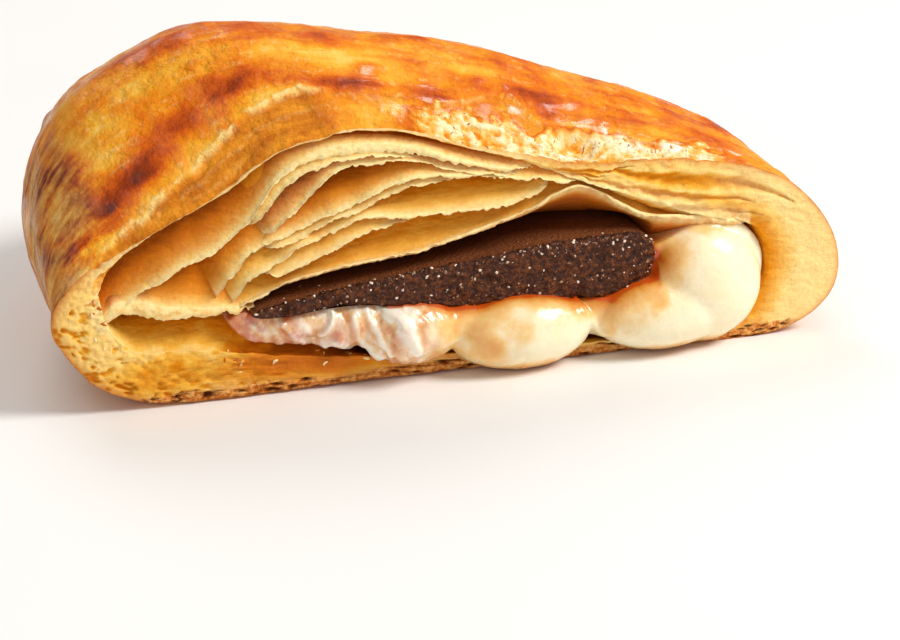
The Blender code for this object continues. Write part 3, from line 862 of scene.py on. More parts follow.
def layer_shell(name, x, sweep, front, low, high, look, marks_of, seed):
    """A closed sheet of dough: low and high hold its two sides, by depth and place.

    Sweep is how far each place moves along the cut for each millimetre of depth, and front
    is how far behind the cut the torn edge lies.
    """
    line = at(x, 0.0, low[0])
    nicks = np.clip(noise(line, 1.1, seed + 5), 0, 1) ** 2
    fine = np.abs(noise(line, 0.62, seed + 3)) + 0.5 * noise(line, 0.31, seed + 4)
    teeth = LAYER_TEETH * (0.8 * fractal(line, 1.8, 2, seed) + 0.7 * fine + nicks)
    fade = np.exp(-DEPTHS / 0.45)[:, None]
    low = low + teeth * fade
    high = np.maximum(high, low + 0.15)
    keep = np.linspace(len(DEPTHS) - 1, 0, BOTTOM_ROWS).astype(int)
    rows, kinds = [], []
    for level in keep:
        rows.append(at(x + sweep * DEPTHS[level], DEPTHS[level] + front, low[level]))
        kinds.append(("under", DEPTHS[level]))
    for share in np.linspace(0, 1, FACE_ROWS + 2)[1:-1]:
        z = low[0] + (high[0] - low[0]) * share
        bulge = -0.22 * math.sin(math.pi * share)
        crumb = 0.16 * fractal(at(x, 0.0, z), 0.9, 2, seed + 7)
        rows.append(at(x, front + bulge + crumb, z))
        kinds.append(("face", share))
    for level, depth in enumerate(DEPTHS):
        place = at(x, depth, high[level])
        dent = 0.14 * fractal(place, (3.0, 4.0, 3.0), 3, seed + 11) * smooth_step(depth / 1.5)
        rows.append(at(x + sweep * depth, depth + front, high[level] + dent))
        kinds.append(("over", depth))
    points, faces = capped(np.array(rows).transpose(1, 0, 2))
    marks = marks_of(x, kinds)
    marks = {label: np.append(some.T, some[0, [0, -1]]) for label, some in marks.items()}
    return add_mesh(name, points, faces, look, marks)


def gap_marks(reach, stain, honeyed):
    """Marks of a layer: pale at its torn edge, with painted shade deeper towards the back of the gap
    above it.
    """

    def marks_of(x, kinds):
        deep, edge, tint = [], [], []
        for kind, value in kinds:
            if kind == "under":
                # The underside: painted shade, stronger where the layer is stained.
                deep.append(np.full(len(x), (0.55 + 0.6 * stain) * smooth_step(value / 2.0)))
                edge.append(np.full(len(x), math.exp(-value / 0.4)))
                tint.append(np.full(len(x), stain))
            elif kind == "face":
                mottled = fractal(at(x, 0.0, 3.0 * value), 1.2, 3, 97)
                deep.append(np.clip(honeyed * (0.3 + mottled), 0, 1))
                edge.append(np.clip(1 - honeyed * (0.6 + mottled), 0, 1))
                tint.append(np.full(len(x), stain * (1 - value)))
            else:
                # The upper side: painted shade, deeper towards the back of the gap.
                deep.append(np.clip(value / np.maximum(reach, 0.5), 0, 1) ** 0.7)
                edge.append(np.full(len(x), 0.9 * math.exp(-value / 0.4)))
                tint.append(np.full(len(x), 0.25 * stain * math.exp(-value / 2.0)))
        marks = {"deep": deep, "edge": edge, "stain": tint, "toast": np.zeros_like(deep)}
        return {label: np.array(values) for label, values in marks.items()}

    return marks_of


def make_layers(look):
    """The layers from the top down; each rises at its back to meet the one above it."""
    back = DEPTHS[:, None]
    under_skin = smooth_step(back / 1.5) * (1 - fade_in(back, 5.0, 2.0))
    roof_limit = TOP_AT_DEPTH - 1.5 - 1.3 * under_skin
    ceiling = np.minimum(lifted(X_GRID, top_line(ring_through(HOLLOW_OUTLINE))), roof_limit + 1.5)
    for number, (name, given) in enumerate(LAYERS.items()):
        layer = {**LAYER_DEFAULTS, **given}
        start, stop = layer["edge"][0][0], layer["edge"][-1][0]
        x = np.arange(start, stop, STATION)
        roof, limit = sampled(ceiling, x), sampled(roof_limit, x)
        closing = fade_out(x, stop, layer["closing"])
        ends = fade_in(x, start, 3.0) * closing
        low = lifted(x, height_along(layer["edge"], x))
        if not layer["free"]:
            apart = ends if name.endswith("inner") else closing
            low = low + (roof - 0.3 - low) * (1 - apart)
        if name == "layer_moist":
            low = drawn_down(x, low)
        thick = np.interp(x, *np.array(layer["thickness"]).T) * (0.3 + 0.7 * ends)
        opening = np.maximum(roof[0] - low[0] - thick, 0.0)
        reach = layer["gap"] * (0.3 + 0.7 * np.sqrt(opening / max(opening.max(), 0.1)))
        rise = np.clip(back / reach, 0, 1.0) ** 1.25 * (0.15 + 0.85 * ends)
        high = low + thick + (roof + 0.2 - low - thick) * rise
        high = np.maximum(np.minimum(high, np.maximum(limit, low[0] + thick)), low + 0.2)
        front = 0.3 + 0.4 * fractal(at(x, 0.0, low[0]), 5.0, 3, 100 + number)
        front = front + layer["drawn_back"] * (1 - ends) ** 2
        sweep = -LAYER_SWEEP * (1 - fade_in(x, start, 7.0)) * (start > SWEPT_FROM)
        marks_of = gap_marks(layer["shade_share"] * reach, layer["stain"], layer["honeyed"])
        seed = 200 + 20 * number
        piece = layer_shell(name, x, sweep, front, low, high, look, marks_of, seed)
        rideable(piece, "pastry")
        under = np.array([np.interp(X_GRID, x, row) for row in low])
        share = np.interp(X_GRID, x, ends, left=0.0, right=0.0)
        ceiling = ceiling * (1 - share) + under * share


def drawn_down(x, low):
    """The moist layer sinks behind its edge until it lies on the slab, or on the cream."""
    _, top = slab_line(np.clip(x, SLAB_LEFT, SLAB_RIGHT))
    rest = np.minimum(top + 0.25, low[0] - 0.3)
    reach = np.interp(x, *np.array(MOIST_REACH).T)
    sunk = np.clip(DEPTHS[:, None] / reach, 0, 1.0) ** 0.8
    return low[0] + (rest - low[0]) * sunk


# The dark slab.

# Rows of points across the slab, and on its face and its top.
SLAB_STATIONS = 230
SLAB_FACE_ROWS = 26
SLAB_TOP_ROWS = 44
SLAB_CORNER = 0.94  # share of the width at which the right corner begins to round off
SLAB_ROUNDING = 2.2
SLAB_UNDER_DEPTHS = (SLAB_BACK, 14.0, 6.0, 2.5, 1.0, 0.4)


def slab_line(x):
    """Heights of the slab's underside and top at each x."""
    low, high = height_along(SLAB_UNDER, x), height_along(SLAB_OVER, x)
    return low, np.maximum(high, low + 0.3)


def make_slab(look, glint_look):
    """The slab of filling, with its grainy broken face at the cut, and the glints on it."""
    along = np.linspace(0, 1, SLAB_STATIONS)
    share = 0.6 * along + 0.4 * (0.5 - 0.5 * np.cos(math.pi * along))
    x = SLAB_LEFT + (SLAB_RIGHT - SLAB_LEFT) * share
    low, high = slab_line(x)
    corner = np.clip((share - SLAB_CORNER) / (1 - SLAB_CORNER), 0, 1)
    front = -SLAB_PROUD + SLAB_ROUNDING * (1 - np.sqrt(np.clip(1 - corner**2, 0, 1)))
    front = front + 0.25 * fractal(at(x, 0, 0), 6.0, 2, 301)
    rows, top_mark, wet = [], [], []
    for depth in SLAB_UNDER_DEPTHS:
        rows.append(at(x, front + depth, low))
        top_mark.append(0.0)
        wet.append(0.0)
    for level in np.linspace(0, 1, SLAB_FACE_ROWS):
        z = low + (high - low) * level
        rounding = 0.45 * (np.maximum(0, np.abs(2 * level - 1) - 0.8) / 0.2) ** 2
        place = at(x, 0.0, z)
        near = cells(place, (1.2, 1.0, 0.9), 303)
        grain = 0.2 * fractal(place, 0.8, 3, 302) + 0.2 * smooth_step(near / 0.7)
        broken = 0.7 * np.clip(noise(place, (2.4, 1.0, 1.4), 305) - 0.35, 0, 1)
        ragged = 0.22 * noise(place, 0.7, 306) * fade_in(level, 0.75, 0.25)
        rows.append(at(x, front + rounding + grain + broken, z + ragged))
        top_mark.append(0.0)
        # Where painted glints are strewn: most along the face's upper edge.
        wet.append(0.25 + 0.75 * math.exp(-(((level - 0.93) / 0.09) ** 2)))
    for level in np.linspace(0, 1, SLAB_TOP_ROWS)[1:]:
        depth = 0.5 + (SLAB_BACK - 0.5) * level**1.8
        place = at(x, depth, high)
        wave = 0.16 * fractal(place, (9.0, 4.0, 4.0), 3, 304)
        rows.append(at(x, front + depth, high + wave * smooth_step(depth / 1.5)))
        top_mark.append(smooth_step(depth / 1.2))
        wet.append(0.5 * math.exp(-depth / 0.8))
    points, faces = capped(np.array(rows).transpose(1, 0, 2))
    marks = {"topness": top_mark, "wet": wet}
    marks = {label: np.append(np.tile(some, len(x)), [0.0, 0.0]) for label, some in marks.items()}
    slab = add_mesh("slab_of_filling", points, faces, look, marks)
    glints = strewn("slab_glints", slab, beads(), glint_look, "wet")
    for piece in (slab, glints):
        rideable(piece, "dark_slab")


# The melted cream.

# The cream's skin: the size of its voxels, how often it is smoothed, the height of its waves
# and, also in millimetres, how low it may hang.
CREAM_GRAIN = 0.31 * MM
CREAM_SOFTENING = 16
CREAM_WAVES = 0.16
CREAM_FLOOR = 0.12

# Strands of cream that stand out at the cut: x and z along each, its half width and height.
STRANDS = [
    ([(-16.2, 6.2), (-14.5, 6.4), (-13.3, 5.1), (-12.3, 3.9), (-11.3, 3.1)], 0.75, 0.7),
    ([(-13.0, 9.4), (-12.3, 7.1), (-11.0, 5.2), (-9.4, 3.7)], 0.45, 0.5),
    ([(-11.0, 10.0), (-10.4, 8.4), (-9.6, 6.4), (-8.4, 4.6)], 0.40, 0.45),
    ([(-8.4, 9.4), (-7.1, 8.7), (-6.3, 6.8), (-5.4, 5.2)], 1.10, 0.6),
    ([(-15.4, 10.5), (-15.8, 8.7), (-16.9, 7.5)], 0.40, 0.6),
    ([(-21.8, 9.4), (-20.6, 7.9), (-19.0, 6.6)], 0.40, 0.5),
    ([(16.4, 8.2), (17.4, 6.6), (18.6, 4.8), (20.0, 3.6)], 0.50, 0.5),
]

# Amber places of the cream, with painted shade where lobes meet: middle across and upwards, half size
# and strength.
AMBER_AND_SHADE_PLACES = [
    (3.4, 5.2, 3.2, 0.62), (7.6, 7.0, 3.0, 0.40), (20.4, 5.4, 2.4, 0.46), (-2.6, 3.4, 1.8, 0.60),
    (26.4, 8.4, 2.6, 0.62), (-0.6, 7.4, 2.4, 0.60), (0.5, 3.2, 2.0, 0.50), (28.4, 12.0, 1.8, 0.45),
]

# Cream left of here lies in ridges that run down to the right.
RIDGED = -1.0
RIDGE_RUN = (0.55, -0.83)


def ball(centre, half, around=40, rings=24):
    """Points and faces of a rounded lump."""
    rows = []
    for level in np.linspace(0, math.pi, rings)[1:-1]:
        angle = np.arange(around) * math.tau / around
        unit = at(np.cos(angle) * math.sin(level), np.sin(angle) * math.sin(level), math.cos(level))
        rows.append(unit * half + centre)
    return capped(np.array(rows), np.array([[0, 0, 1], [0, 0, -1]]) * half + centre)


def cream_block():
    """Points and faces of the cream behind the cut."""
    around = 96
    ring = curve_at(CREAM_OUTLINE, np.arange(around) / around, closed=True)[::-1]
    rows = []
    for depth in np.linspace(0.4, CREAM_BACK, 12):
        share = (depth / CREAM_BACK) ** 2
        share = share * np.clip((ring[:, 0] - CREAM_BEND) / CREAM_BLEND, 0.0, 1.0)
        across, up = CREAM_DRAW_IN
        x = ring[:, 0] - (ring[:, 0] - CREAM_BEND) * across * share
        z = ring[:, 1] - (ring[:, 1] - CREAM_MIDDLE) * up * share
        rows.append(at(x, depth, z))
    return capped(np.array(rows), turned=False)


def make_plain(piece):
    """Works the piece's modifiers into its mesh and removes them."""
    graph = bpy.context.evaluated_depsgraph_get()
    mesh = bpy.data.meshes.new_from_object(piece.evaluated_get(graph))
    piece.modifiers.clear()
    piece.data = mesh


def joined(parts):
    """Points and faces of several shapes as one list of each."""
    points, faces, base = [], [], 0
    for some, corners in parts:
        points.append(some)
        faces += [[corner + base for corner in face] for face in corners]
        base += len(some)
    return np.vstack(points), faces


def cream_marks(places, ridge):
    """How red and how torn the cream is at these places, its amber tint with painted shade, and where
    it is in strands.
    """
    x, y, z = places.T
    under, over = slab_line(np.clip(x, SLAB_LEFT, SLAB_RIGHT))
    past = np.maximum(np.maximum(SLAB_LEFT - x, x - SLAB_RIGHT), 0)
    off = np.maximum(np.maximum(under - z, z - over), 0)
    ahead = np.maximum(-SLAB_PROUD - y, 0)
    away = np.sqrt(past**2 + off**2 + ahead**2)
    blot = 0.5 + 0.5 * fractal(places, 2.6, 3, 402)
    right_end = fade_in(x, 17.0, 6.0)
    left = fade_out(x, RIDGED, 5.0)
    red = np.exp(-((away / (0.10 + 0.9 * blot**2 + 0.6 * right_end * blot)) ** 1.5))
    tip = fade_out(x, -14.0, 6.0) * fade_in(blot, 0.34, 0.25)
    stain = np.exp(-spread(x, z, (-14.6, 7.4), (2.2, 1.6))) * (0.4 + blot)
    rosy = np.maximum(np.maximum(0.9 * tip, stain), 0.5 * left * fade_in(blot, 0.62, 0.2))
    # Amber tint of the thin cream, with painted shade under and beside the slab, low down and where
    # lobes meet.
    amber = np.exp(-away / (1.1 + 2.6 * blot + 1.0 * right_end))
    amber = np.maximum(amber, 0.75 * smooth_step((3.4 - z + 1.8 * (blot - 0.5)) / 3.2))
    out = np.maximum(z - 13.6, 0) + np.maximum(x - 40.6, 0)
    rim = 0.6 * smooth_step(out / 3.0) * (0.3 + blot) * fade_in(x, 24.0, 4.0)
    amber = np.maximum(amber, rim)
    for across, up, half, strength in AMBER_AND_SHADE_PLACES:
        drift = 1.3 * noise(places, 2.2, 404 + int(half))
        far = ((x + drift - across) ** 2 + 0.5 * (z - drift - up) ** 2) / half**2
        amber = np.maximum(amber, strength * np.exp(-far) * (0.8 + 0.4 * blot))
    marks = {"red": red, "amber": amber, "torn": left, "strand": left * ridge, "rosy": rosy}
    return {label: np.clip(values, 0, 1) for label, values in marks.items()}


def ridges(places):
    """How far the strands stand out at these places, and how white they are, partly as painted
    highlight, from 0 to 1.
    """
    flat = places[:, [0, 2]]
    lift, white = np.zeros(len(flat)), np.zeros(len(flat))
    wander = 0.25 * np.stack([noise(places, 1.2, 423), noise(places, 1.2, 424)], axis=1)
    for points, half, height in STRANDS:
        line = curve_at(points, np.linspace(0, 1, 40), closed=False)
        far = np.min([np.linalg.norm(flat + wander - spot, axis=1) for spot in line], axis=0)
        lift = np.maximum(lift, height * np.exp(-((far / half) ** 2)))
        white = np.maximum(white, np.exp(-((far / half) ** 2)))
    run = flat @ RIDGE_RUN
    across = flat @ (-RIDGE_RUN[1], RIDGE_RUN[0])
    shares = at(across / 0.9, run / 4.5, places[:, 1] / 3.0)
    fine = 1 - 2.6 * np.abs(fractal(shares, 1.0, 2, 422))
    left = fade_out(flat[:, 0], RIDGED, 4.0)
    lumps = 0.16 * fractal(places, 1.0, 3, 425)
    return lift + left * (0.14 * fine + lumps), np.clip(np.maximum(white, 0.5 * fine), 0, 1)


def make_cream(look):
    """The cream as one skin over its block and its lumps, with strands and ridges worked in."""
    parts = [cream_block()]
    parts += [ball(np.array(centre), np.array(half)) for centre, half in LOBES]
    cream = add_mesh("melted_cream_runs", *joined(parts), look)
    remesh = cream.modifiers.new("one skin", "REMESH")
    remesh.mode = "VOXEL"
    remesh.voxel_size = CREAM_GRAIN
    remesh.use_smooth_shade = True
    melt = cream.modifiers.new("melted together", "SMOOTH")
    melt.factor = 0.5
    melt.iterations = CREAM_SOFTENING
    make_plain(cream)
    count = len(cream.data.vertices)
    flat, away = np.empty(3 * count, np.float32), np.empty(3 * count, np.float32)
    cream.data.vertices.foreach_get("co", flat)
    cream.data.vertices.foreach_get("normal", away)
    places = flat.reshape(-1, 3) / MM + ORIGIN
    lift, ridge = ridges(places)
    height = CREAM_WAVES * fractal(places, 3.4, 2, 401) + lift * fade_out(places[:, 1], 3.0, 2.0)
    places = places + away.reshape(-1, 3) * height[:, None]
    places[:, 2] = np.maximum(places[:, 2], CREAM_FLOOR)
    flat = ((places - ORIGIN) * MM).astype(np.float32)
    cream.data.vertices.foreach_set("co", flat.ravel())
    set_marks(cream.data, cream_marks(places, ridge))
    rideable(cream, "melted_cream")


# Small things strewn over a surface by geometry nodes: how many to a square millimetre where
# the surface is fully marked, the smallest and the largest, in millimetres, and the seed.
STREWN = {
    "torn_flakes": (3.0, 0.15, 0.42, 21),
    "fine_crumbs": (1.6, 0.25, 0.8, 22),
    "slab_glints": (2.3, 0.12, 0.56, 31),
}


def chips(count=6, corners=9):
    """Thin curled flakes of dough about a millimetre across, each an object."""
    draw = random.Random(11)
    made = []
    for number in range(count):
        angle = (np.arange(corners) + [draw.uniform(-0.3, 0.3) for _ in range(corners)])
        angle = angle * math.tau / corners
        reach = np.array([draw.uniform(0.55, 1.0) for _ in range(corners)]) * 0.5
        x, y = 1.6 * reach * np.cos(angle), 0.7 * reach * np.sin(angle)
        curl = draw.uniform(0.1, 0.5) * x**2 + draw.uniform(-0.5, 0.5) * x * y
        curl = curl + np.array([draw.uniform(-0.05, 0.05) for _ in range(corners)])
        over = np.stack([x, y, curl + 0.06], axis=1)
        under = np.stack([x * 0.92, y * 0.92, curl - 0.05], axis=1)
        points, faces = capped(np.stack([over, under]), ([0, 0, 0.1], [0, 0, -0.04]))
        made.append(pattern(f"chip_{number}", points, faces))
    return made


def beads(count=5):
    """Small uneven drops, each an object."""
    draw = random.Random(13)
    made = []
    for number in range(count):
        points, faces = ball(np.zeros(3), np.array([0.5, draw.uniform(0.25, 0.5), 0.22]), 7, 6)
        points = points * (1 + 0.5 * noise(points, 0.4, 500 + number))[:, None]
        made.append(pattern(f"bead_{number}", points, faces))
    return made


def pattern(name, points, faces):
    """A small shape at the origin, to be strewn, in metres."""
    mesh = bpy.data.meshes.new(name)
    mesh.from_pydata((points * MM).tolist(), [], faces)
    mesh.shade_smooth()
    return bpy.data.objects.new(name, mesh)


def strewing_tree(name, group, mark, look):
    """Nodes that set copies of the shapes on a surface, more of them where it is marked."""
    tree = bpy.data.node_groups.new(name, "GeometryNodeTree")
    sockets = {}
    wanted = (("Surface", "Geometry"), ("Count", "Float"), ("Smallest", "Float"),
              ("Largest", "Float"), ("Seed", "Int"))
    for label, kind in wanted:
        made = tree.interface.new_socket(label, in_out="INPUT", socket_type=f"NodeSocket{kind}")
        sockets[label] = made.identifier
    tree.interface.new_socket("Strewn", in_out="OUTPUT", socket_type="NodeSocketGeometry")

    def node(kind, inputs=None, **settings):
        made = tree.nodes.new(kind)
        for label, value in settings.items():
            setattr(made, label, value)
        for label, value in (inputs or {}).items():
            if isinstance(value, bpy.types.NodeSocket):
                tree.links.new(value, made.inputs[label])
            else:
                made.inputs[label].default_value = value
        return made

    given = node("NodeGroupInput").outputs
    marked = node("GeometryNodeInputNamedAttribute", {"Name": mark}, data_type="FLOAT").outputs[0]
    amount = node("ShaderNodeMath", {0: given["Count"], 1: marked}, operation="MULTIPLY").outputs[0]
    spots = node("GeometryNodeDistributePointsOnFaces",
                 {"Mesh": given["Surface"], "Density": amount, "Seed": given["Seed"]}).outputs
    shapes = node("GeometryNodeCollectionInfo",
                  {"Collection": group, "Separate Children": True, "Reset Children": True}).outputs[0]
    lean = node("FunctionNodeRandomValue", {0: (-0.22, -0.22, -3.14), 1: (0.22, 0.22, 3.14)},
                data_type="FLOAT_VECTOR").outputs[0]
    lean = node("FunctionNodeEulerToRotation", {0: lean}).outputs[0]
    turned = node("FunctionNodeRotateRotation",
                  {"Rotation": spots["Rotation"], "Rotate By": lean}, rotation_space="LOCAL").outputs[0]
    size = node("FunctionNodeRandomValue", {2: given["Smallest"], 3: given["Largest"]},
                data_type="FLOAT").outputs[1]
    laid = node("GeometryNodeInstanceOnPoints",
                {"Points": spots["Points"], "Instance": shapes, "Pick Instance": True,
                 "Rotation": turned, "Scale": size}).outputs[0]
    tone = node("FunctionNodeRandomValue", {2: 0.0, 3: 1.0, "Seed": 5}, data_type="FLOAT").outputs[1]
    toned = node("GeometryNodeStoreNamedAttribute", {"Geometry": laid, "Name": "tone", "Value": tone},
                 data_type="FLOAT", domain="INSTANCE").outputs[0]
    real = node("GeometryNodeRealizeInstances", {"Geometry": toned}).outputs[0]
    dressed = node("GeometryNodeSetMaterial", {"Geometry": real, "Material": look}).outputs[0]
    node("NodeGroupOutput", {0: dressed})
    return tree, sockets


def strewn(name, ground, shapes, look, mark):
    """One mesh of copies of the shapes on the ground, more of them where it is marked."""
    count, smallest, largest, seed = STREWN[name]
    group = bpy.data.collections.new(name)
    for shape in shapes:
        group.objects.link(shape)
    tree, sockets = strewing_tree(name, group, mark, look)
    holder = bpy.data.objects.new(name, ground.data)
    bpy.context.scene.collection.objects.link(holder)
    modifier = holder.modifiers.new("strewn", "NODES")
    modifier.node_group = tree
    given = {"Count": count / MM**2, "Smallest": smallest, "Largest": largest, "Seed": seed}
    for label, value in given.items():
        modifier[sockets[label]] = value
    make_plain(holder)
    for shape in shapes:
        bpy.data.objects.remove(shape)
    bpy.data.collections.remove(group)
    return holder


# Materials: a small wrapper lets a number socket take part in arithmetic.


class Number:
    """A number that a node gives, for sums with other such numbers."""

    def __init__(self, look, socket):
        self.look = look
        self.socket = socket

    def __add__(self, other):
        return self.look.maths("ADD", self, other)

    def __sub__(self, other):
        return self.look.maths("SUBTRACT", self, other)

    def __rsub__(self, other):
        return self.look.maths("SUBTRACT", other, self)

    def __mul__(self, other):
        return self.look.maths("MULTIPLY", self, other)

    __radd__ = __add__
    __rmul__ = __mul__


class Look:
    """A material under construction."""

    def __init__(self, name):
        self.material = bpy.data.materials.new(name)
        self.material.use_nodes = True
        self.tree = self.material.node_tree
        self.shader = self.tree.nodes["Principled BSDF"]
        self.places = self.node("ShaderNodeTexCoord", output="Object")

    def node(self, kind, settings=None, inputs=None, output=0):
        """Adds a node: its settings first, then the values or links of its sockets."""
        node = self.tree.nodes.new(kind)
        for name, value in (settings or {}).items():
            if name == "stops":
                set_stops(node.color_ramp, value)
            else:
                setattr(node, name, value)
        for name, value in (inputs or {}).items():
            self.feed(node.inputs[name], value)
        return Number(self, node.outputs[output])

    def feed(self, socket, value):
        if isinstance(value, Number):
            self.tree.links.new(value.socket, socket)
        else:
            socket.default_value = value

    def maths(self, operation, *values):
        inputs = dict(enumerate(values))
        return self.node("ShaderNodeMath", {"operation": operation}, inputs)

    def between(self, value, low, high):
        """0 below low, 1 above high, and smooth from one to the other."""
        settings = {"interpolation_type": "SMOOTHSTEP"}
        inputs = {"Value": value, "From Min": low, "From Max": high}
        return self.node("ShaderNodeMapRange", settings, inputs)

    def mark(self, name):
        return self.node("ShaderNodeAttribute", {"attribute_name": name}, output="Fac")

    def noise(self, vector, stretch, scale, detail, rough):
        """Noise from 0 to 1 at a vector that is stretched first."""
        placed = self.node("ShaderNodeMapping", None, {"Vector": vector, "Scale": stretch})
        inputs = {"Vector": placed, "Scale": scale, "Detail": detail, "Roughness": rough}
        return self.node("ShaderNodeTexNoise", None, inputs)

    def mottle(self, size, detail, stretch=(1.0, 1.0, 1.0), rough=0.55):
        """Noise with features about this many millimetres wide."""
        return self.noise(self.places, stretch, 1 / (size * MM), detail, rough)

    def streaks(self, along, stretch, detail):
        """Noise drawn out along the wrap: stretch is its count per millimetre."""
        return self.noise(along, stretch, 1.0, detail, 0.6)

    def ramp(self, value, stops):
        return self.node("ShaderNodeValToRGB", {"stops": stops}, {"Fac": value})

    def mix(self, share, first, second):
        settings = {"data_type": "RGBA", "clamp_factor": True}
        return self.node("ShaderNodeMix", settings, {0: share, 6: first, 7: second}, output=2)

    def bump(self, height, strength, distance):
        inputs = {"Height": height, "Strength": strength, "Distance": distance * MM}
        return self.node("ShaderNodeBump", None, inputs)

    def finish(self, **sockets):
        for name, value in sockets.items():
            self.feed(self.shader.inputs[name.replace("_", " ")], value)
        return self.material


def set_stops(ramp, stops):
    while len(ramp.elements) < len(stops):
        ramp.elements.new(0.5)
    for element, (place, shade) in zip(ramp.elements, stops):
        element.position = place
        element.color = shade


def rgb(red, green, blue):
    """A display colour, from 0 to 255, as a shader wants it: linear, with an alpha of 1."""

    def linear(shown):
        return shown / 3294.6 if shown < 10.31 else ((shown / 255 + 0.055) / 1.055) ** 2.4

    return (linear(red), linear(green), linear(blue), 1.0)


def crust_look():
    look = Look("golden baked crust")
    bake, bare, torn = look.mark("bake"), look.mark("bare"), look.mark("torn")
    flaky, blister = look.mark("flaky"), look.mark("blister")
    strip, flank = look.mark("strip"), look.mark("flank")
    wrap = look.node("ShaderNodeCombineXYZ", None, {"X": look.mark("arc"), "Y": look.mark("depth")})
    fine = look.streaks(wrap, (0.22, 1.5, 1.0), 5.0)
    broad = look.streaks(wrap, (0.09, 0.34, 1.0), 4.0)
    blotches = look.mottle(5.0, 4.0)
    specks = look.mottle(0.8, 3.0)
    patchy = look.mottle(2.0, 5.0, rough=0.65)
    skins = look.streaks(wrap, (0.06, 0.16, 1.0), 5.0)
    steps = look.between(skins, 0.40, 0.47) + look.between(skins, 0.52, 0.60)
    baked = bake + (fine - 0.5) * (0.22 + flank * 1.4) + (broad - 0.5) * 0.5 + (blotches - 0.5) * 0.8
    baked = baked + (patchy - 0.5) * 0.35 + (specks - 0.5) * (0.1 + flank * 0.4) + (skins - 0.5) * 0.5
    baked = baked + blister * 0.3 - strip * 0.22
    shade = look.ramp(baked, [
        (0.02, rgb(253, 208, 104)), (0.24, rgb(247, 174, 44)), (0.44, rgb(237, 136, 12)),
        (0.64, rgb(212, 92, 5)), (0.82, rgb(164, 60, 6)), (1.0, rgb(104, 36, 8)),
    ])
    dusky = look.ramp(baked, [
        (0.10, rgb(214, 168, 106)), (0.45, rgb(186, 124, 64)), (0.70, rgb(126, 70, 44)),
        (0.95, rgb(78, 38, 34)),
    ])
    shade = look.mix(flank * look.between(look.mottle(9.0, 2.0), 0.25, 0.6), shade, dusky)
    pale_specks = look.between(specks * 0.5 + fine * 0.5, 0.52, 0.66) * look.between(baked, 0.8, 0.4)
    shade = look.mix(pale_specks * 0.45, shade, rgb(254, 214, 130))
    gold = look.mix(look.between(fine, 0.3, 0.7), rgb(236, 150, 36), rgb(186, 98, 10))
    shade = look.mix(bare * 0.9, shade, gold)
    flakes = look.ramp(flaky + (specks - 0.5) * 0.5 + (patchy - 0.5) * 0.5, [
        (0.20, rgb(216, 104, 6)), (0.40, rgb(238, 148, 30)), (0.58, rgb(248, 192, 96)),
        (0.78, rgb(255, 234, 184)),
    ])
    shade = look.mix(look.between(flaky, 0.02, 0.2), shade, flakes)
    shade = look.mix(torn * look.between(specks, 0.25, 0.6), shade, rgb(255, 220, 138))
    # Painted highlights: near-white spots on thin blisters.
    white = look.mark("white") * look.between(patchy, 0.42, 0.56)
    shade = look.mix(white * 0.7, shade, rgb(255, 246, 226))
    height = fine * 0.6 + patchy * 1.0 + specks * 0.35 + steps * 0.35
    rough = 0.40 + look.mottle(3.0, 3.0) * 0.2 + bare * 0.2
    glaze = look.between(look.mottle(4.0, 3.0), 0.45, 0.6) * (1 - bare) * 0.4 + white * 0.4
    return look.finish(
        Base_Color=shade, Roughness=rough, Normal=look.bump(height, 0.8, 0.7),
        Specular_IOR_Level=0.14, Coat_Weight=glaze, Coat_Roughness=0.16,
    )


def dough_look():
    look = Look("torn flaky dough")
    deep, edge = look.mark("deep"), look.mark("edge")
    toast, stain = look.mark("toast"), look.mark("stain")
    cloud = look.mottle(5.0, 3.0)
    grain = look.mottle(1.1, 4.0, (0.5, 1.0, 1.6))
    fine = look.mottle(0.6, 3.0)
    # Painted shade in gaps, hollows, creases and cells, with the crumb's honey colour, turns pale dough
    # to dark ochre.
    shaded = deep + (cloud - 0.5) * 0.25 + (grain - 0.5) * 0.4
    shade = look.ramp(shaded, [
        (0.0, rgb(250, 208, 122)), (0.16, rgb(241, 180, 66)), (0.42, rgb(222, 136, 12)),
        (0.75, rgb(198, 104, 2)), (1.0, rgb(158, 76, 0)),
    ])
    shade = look.mix(edge * (0.45 + look.between(fine, 0.3, 0.6) * 0.5), shade, rgb(254, 230, 168))
    shade = look.mix(toast * (0.5 + fine * 0.8), shade, rgb(204, 112, 38))
    shade = look.mix(stain * look.between(cloud, 0.2, 0.7), shade, rgb(226, 118, 60))
    base = look.mark("base")
    browned = look.ramp(fine * 0.6 + grain * 0.5, [
        (0.34, rgb(112, 46, 8)), (0.50, rgb(196, 104, 30)), (0.66, rgb(246, 184, 106)),
    ])
    shade = look.mix(base * 0.9, shade, browned)
    # Painted shade in the pits of the browned base.
    shade = look.mix(look.mark("pit") * 0.95, shade, rgb(84, 28, 4))
    height = fine * 0.5 + grain * 0.8 + base * fine * 1.2
    return look.finish(
        Base_Color=shade, Roughness=0.55 + fine * 0.2, Normal=look.bump(height, 0.7, 0.45),
        Specular_IOR_Level=0.08, Subsurface_Weight=0.12, Subsurface_Scale=0.0012,
    )


